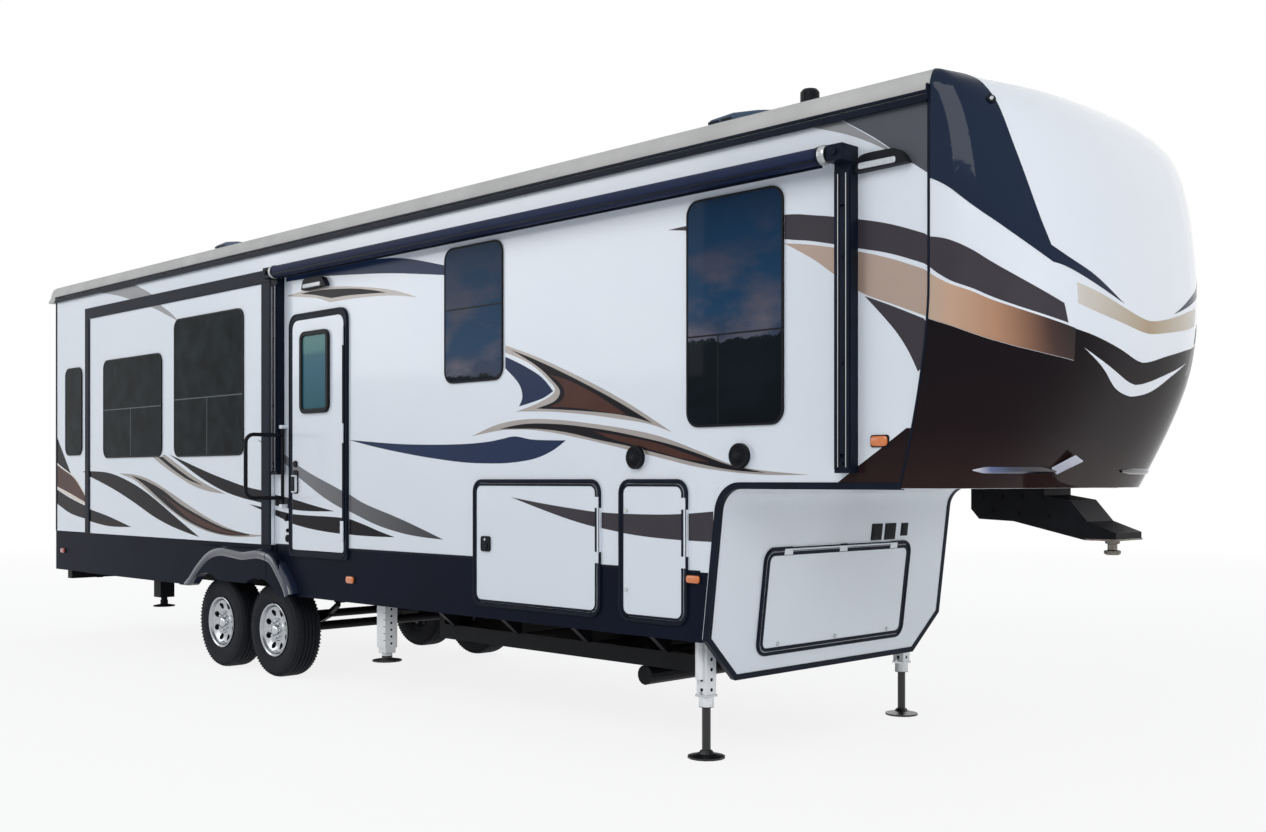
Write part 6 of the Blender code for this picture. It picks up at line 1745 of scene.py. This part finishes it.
def make_stage(sizes):
    """Pale floor, soft lamps, pale world and the camera of the photograph."""
    bm = bmesh.new()
    bmesh.ops.create_grid(bm, x_segments=1, y_segments=1, size=FLOOR_REACH)
    floor = linked("floor", as_mesh(bm, "floor"))
    floor.location = (0, 0, FLOOR_Z)
    material = bpy.data.materials.new("studio_floor")
    material.use_nodes = True
    tree = material.node_tree
    shader = tree.nodes["Principled BSDF"]
    shader.inputs["Base Color"].default_value = colour("#f4f5f7")
    shader.inputs["Roughness"].default_value = 0.85
    shader.inputs["Specular IOR Level"].default_value = 0.2
    # The camera sees most of a white floor, all of it far off, and enough of the lit one to keep the shadow
    place = add(tree, "ShaderNodeTexCoord").outputs["Object"]
    far = add(tree, "ShaderNodeVectorMath", {0: place}, operation="LENGTH").outputs["Value"]
    limits = {"From Min": 7.0, "From Max": 26.0, "To Min": 0.85, "To Max": 1.0}
    share = add(tree, "ShaderNodeMapRange", {"Value": far}, limits).outputs["Result"]
    seen = add(tree, "ShaderNodeMath", {0: plainly_seen(tree), 1: share}, operation="MULTIPLY")
    white = add(tree, "ShaderNodeEmission", None, {"Color": colour("#ffffff"), "Strength": 1.0})
    both = add(tree, "ShaderNodeMixShader", {0: seen.outputs[0], 1: shader.outputs[0], 2: white.outputs[0]})
    tree.links.new(both.outputs[0], tree.nodes["Material Output"].inputs["Surface"])
    floor.data.materials.append(material)

    world = bpy.data.worlds.new("studio")
    bpy.context.scene.world = world
    world.use_nodes = True
    tree = world.node_tree
    tree.nodes.clear()
    place = add(tree, "ShaderNodeTexCoord").outputs["Generated"]
    height = add(tree, "ShaderNodeSeparateXYZ", {"Vector": place}).outputs["Z"]
    limits = {"From Min": -0.3, "From Max": 1.0}
    level = add(tree, "ShaderNodeMapRange", {"Value": height}, limits).outputs["Result"]
    sky = ramp(tree, level, [(0.0, "#c9ced6"), (0.22, "#b9c2cf"), (0.30, "#ffffff"), (1.0, "#dfe7f2")])
    light = add(tree, "ShaderNodeBackground", {"Color": sky}, {"Strength": sizes.world_light})
    pale = add(tree, "ShaderNodeBackground", None, {"Color": colour("#ffffff"), "Strength": 1.0})
    seen = plainly_seen(tree)
    chosen = add(tree, "ShaderNodeMixShader", {0: seen, 1: light.outputs[0], 2: pale.outputs[0]})
    add(tree, "ShaderNodeOutputWorld", {"Surface": chosen.outputs[0]})

    lamps = {
        # name: (place, target, size, watts)
        "key": ((9.0, -15.0, 12.0), (0.0, 0.0, 1.5), 9.0, 2600),
        "fill": ((-12.0, -12.0, 8.0), (-1.0, 0.0, 1.5), 9.0, 1300),
        "nose": ((17.0, -1.5, 1.9), (4.0, 0.0, 1.2), 6.0, 1300),
        "back": ((-6.0, 14.0, 10.0), (0.0, 0.0, 2.0), 9.0, 1200),
    }
    for name, (place, target, size, watts) in lamps.items():
        data = bpy.data.lights.new(name, "AREA")
        data.size = size
        data.energy = watts * sizes.lamp_light
        lamp = linked(name, data)
        lamp.location = place
        # The low lamp in front lights the nose without a glare on it
        lamp.visible_glossy = name != "nose"
        look_at(lamp, target)

    data = bpy.data.cameras.new("camera")
    data.sensor_width = SENSOR_WIDTH
    data.lens = CAMERA_LENS
    data.shift_y = CAMERA_SHIFT
    data.clip_end = CAMERA_REACH
    camera = linked("camera", data)
    camera.location = CAMERA_PLACE
    camera.rotation_euler = (math.pi / 2, 0, math.radians(CAMERA_HEADING))
    bpy.context.scene.camera = camera
    bpy.context.scene.view_settings.view_transform = "Standard"


# The add-on


class TrailerFinish(bpy.types.PropertyGroup):
    """Colours of the trailer that a user would change."""

    body_tone: bpy.props.StringProperty(
        name="Body colour", description="Gelcoat colour of the body as a hex value", default="#e4e9ef",
    )
    skirt_tone: bpy.props.StringProperty(
        name="Skirt colour", description="Enamel colour of the skirts as a hex value", default="#10141f",
    )


class TrailerStage(bpy.types.PropertyGroup):
    """Strength of the studio light."""

    world_light: bpy.props.FloatProperty(
        name="World light", description="Strength of the pale surroundings", default=0.50, min=0.0, max=3.0,
    )
    lamp_light: bpy.props.FloatProperty(
        name="Lamp light", description="Share of each lamp's full power", default=0.36, min=0.0, max=3.0,
        subtype="FACTOR",
    )


class TRAILER_OT_finishes(bpy.types.Operator):
    """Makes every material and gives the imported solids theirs."""

    bl_idname = "trailer.finishes"
    bl_label = "Finishes"

    def execute(self, context):
        MATERIALS.update(make_materials(context.scene.trailer_finish))
        make_finishes()
        return {"FINISHED"}


class TRAILER_OT_shell(bpy.types.Operator):
    """Moulds the nose cap and lays the beads and rails between the panels."""

    bl_idname = "trailer.shell"
    bl_label = "Cap and seams"

    def execute(self, context):
        make_cap_shell()
        make_seams()
        make_slide_rims()
        make_flares()
        return {"FINISHED"}


class TRAILER_OT_side_stripes(bpy.types.Operator):
    """Lays the vinyl films on the walls, slide-out rooms and doors."""

    bl_idname = "trailer.side_stripes"
    bl_label = "Side stripes"

    def execute(self, context):
        make_side_stripes()
        return {"FINISHED"}


class TRAILER_OT_cap_stripes(bpy.types.Operator):
    """Lays the painted fields and films on the nose cap."""

    bl_idname = "trailer.cap_stripes"
    bl_label = "Nose colours"

    def execute(self, context):
        make_cap_stripes()
        return {"FINISHED"}


class TRAILER_OT_window_trims(bpy.types.Operator):
    """Fits clamp frames, bars and dividers round the windows."""

    bl_idname = "trailer.window_trims"
    bl_label = "Window frames"

    def execute(self, context):
        make_window_trims()
        return {"FINISHED"}


class TRAILER_OT_door_trims(bpy.types.Operator):
    """Fits frames, latches, vents and ports of the doors and the storage bay."""

    bl_idname = "trailer.door_trims"
    bl_label = "Door fittings"

    def execute(self, context):
        make_door_trims()
        return {"FINISHED"}


class TRAILER_OT_awning(bpy.types.Operator):
    """Winds the awning cloth on its roller and details its arms."""

    bl_idname = "trailer.awning"
    bl_label = "Awning"

    def execute(self, context):
        make_awning()
        return {"FINISHED"}


class TRAILER_OT_lamps(bpy.types.Operator):
    """Fits the marker, porch and tail lamps and the outside speakers."""

    bl_idname = "trailer.lamps"
    bl_label = "Lamps and speakers"

    def execute(self, context):
        make_lamps()
        return {"FINISHED"}


class TRAILER_OT_wheels(bpy.types.Operator):
    """Builds the cast wheels, nuts, caps and treaded tyres."""

    bl_idname = "trailer.wheels"
    bl_label = "Wheels and tyres"

    def execute(self, context):
        make_wheels()
        return {"FINISHED"}


class TRAILER_OT_gear_details(bpy.types.Operator):
    """Adds leg pins and marks, the coupling's bolts and kingpin, and ladder treads."""

    bl_idname = "trailer.gear_details"
    bl_label = "Legs, coupling and ladder"

    def execute(self, context):
        make_gear_details()
        return {"FINISHED"}


class TRAILER_OT_roof_details(bpy.types.Operator):
    """Fits the covers and louvres of the roof units."""

    bl_idname = "trailer.roof_details"
    bl_label = "Roof units"

    def execute(self, context):
        make_roof_details()
        return {"FINISHED"}


class TRAILER_OT_nose_lip(bpy.types.Operator):
    """Bends the bright lip and fin across the foot of the nose."""

    bl_idname = "trailer.nose_lip"
    bl_label = "Nose lip"

    def execute(self, context):
        make_cap_blade()
        return {"FINISHED"}


class TRAILER_OT_stage(bpy.types.Operator):
    """Lays the floor and sets the lamps, the world and the camera."""

    bl_idname = "trailer.stage"
    bl_label = "Stage"

    def execute(self, context):
        make_stage(context.scene.trailer_stage)
        return {"FINISHED"}


STEPS = (
    "finishes", "shell", "side_stripes", "cap_stripes", "window_trims", "door_trims", "awning", "lamps",
    "wheels", "gear_details", "roof_details", "nose_lip", "stage",
)


class TRAILER_PT_steps(bpy.types.Panel):
    """Lists the colours, the light and the building steps."""

    bl_idname = "TRAILER_PT_steps"
    bl_label = "Fifth wheel trailer"
    bl_space_type = "VIEW_3D"
    bl_region_type = "UI"
    bl_category = "Trailer"

    def draw(self, context):
        for group in (context.scene.trailer_finish, context.scene.trailer_stage):
            for key in group.__annotations__:
                self.layout.prop(group, key)
        for step in STEPS:
            self.layout.operator("trailer." + step)


CLASSES = (
    TrailerFinish, TrailerStage, TRAILER_OT_finishes, TRAILER_OT_shell, TRAILER_OT_side_stripes,
    TRAILER_OT_cap_stripes, TRAILER_OT_window_trims, TRAILER_OT_door_trims, TRAILER_OT_awning,
    TRAILER_OT_lamps, TRAILER_OT_wheels, TRAILER_OT_gear_details, TRAILER_OT_roof_details,
    TRAILER_OT_nose_lip, TRAILER_OT_stage, TRAILER_PT_steps,
)


def register():
    for item in CLASSES:
        bpy.utils.register_class(item)
    bpy.types.Scene.trailer_finish = bpy.props.PointerProperty(type=TrailerFinish)
    bpy.types.Scene.trailer_stage = bpy.props.PointerProperty(type=TrailerStage)


def unregister():
    del bpy.types.Scene.trailer_finish
    del bpy.types.Scene.trailer_stage
    for item in reversed(CLASSES):
        bpy.utils.unregister_class(item)


def main():
    register()
    for step in STEPS:
        getattr(bpy.ops.trailer, step)()


if __name__ == "__main__":
    main()
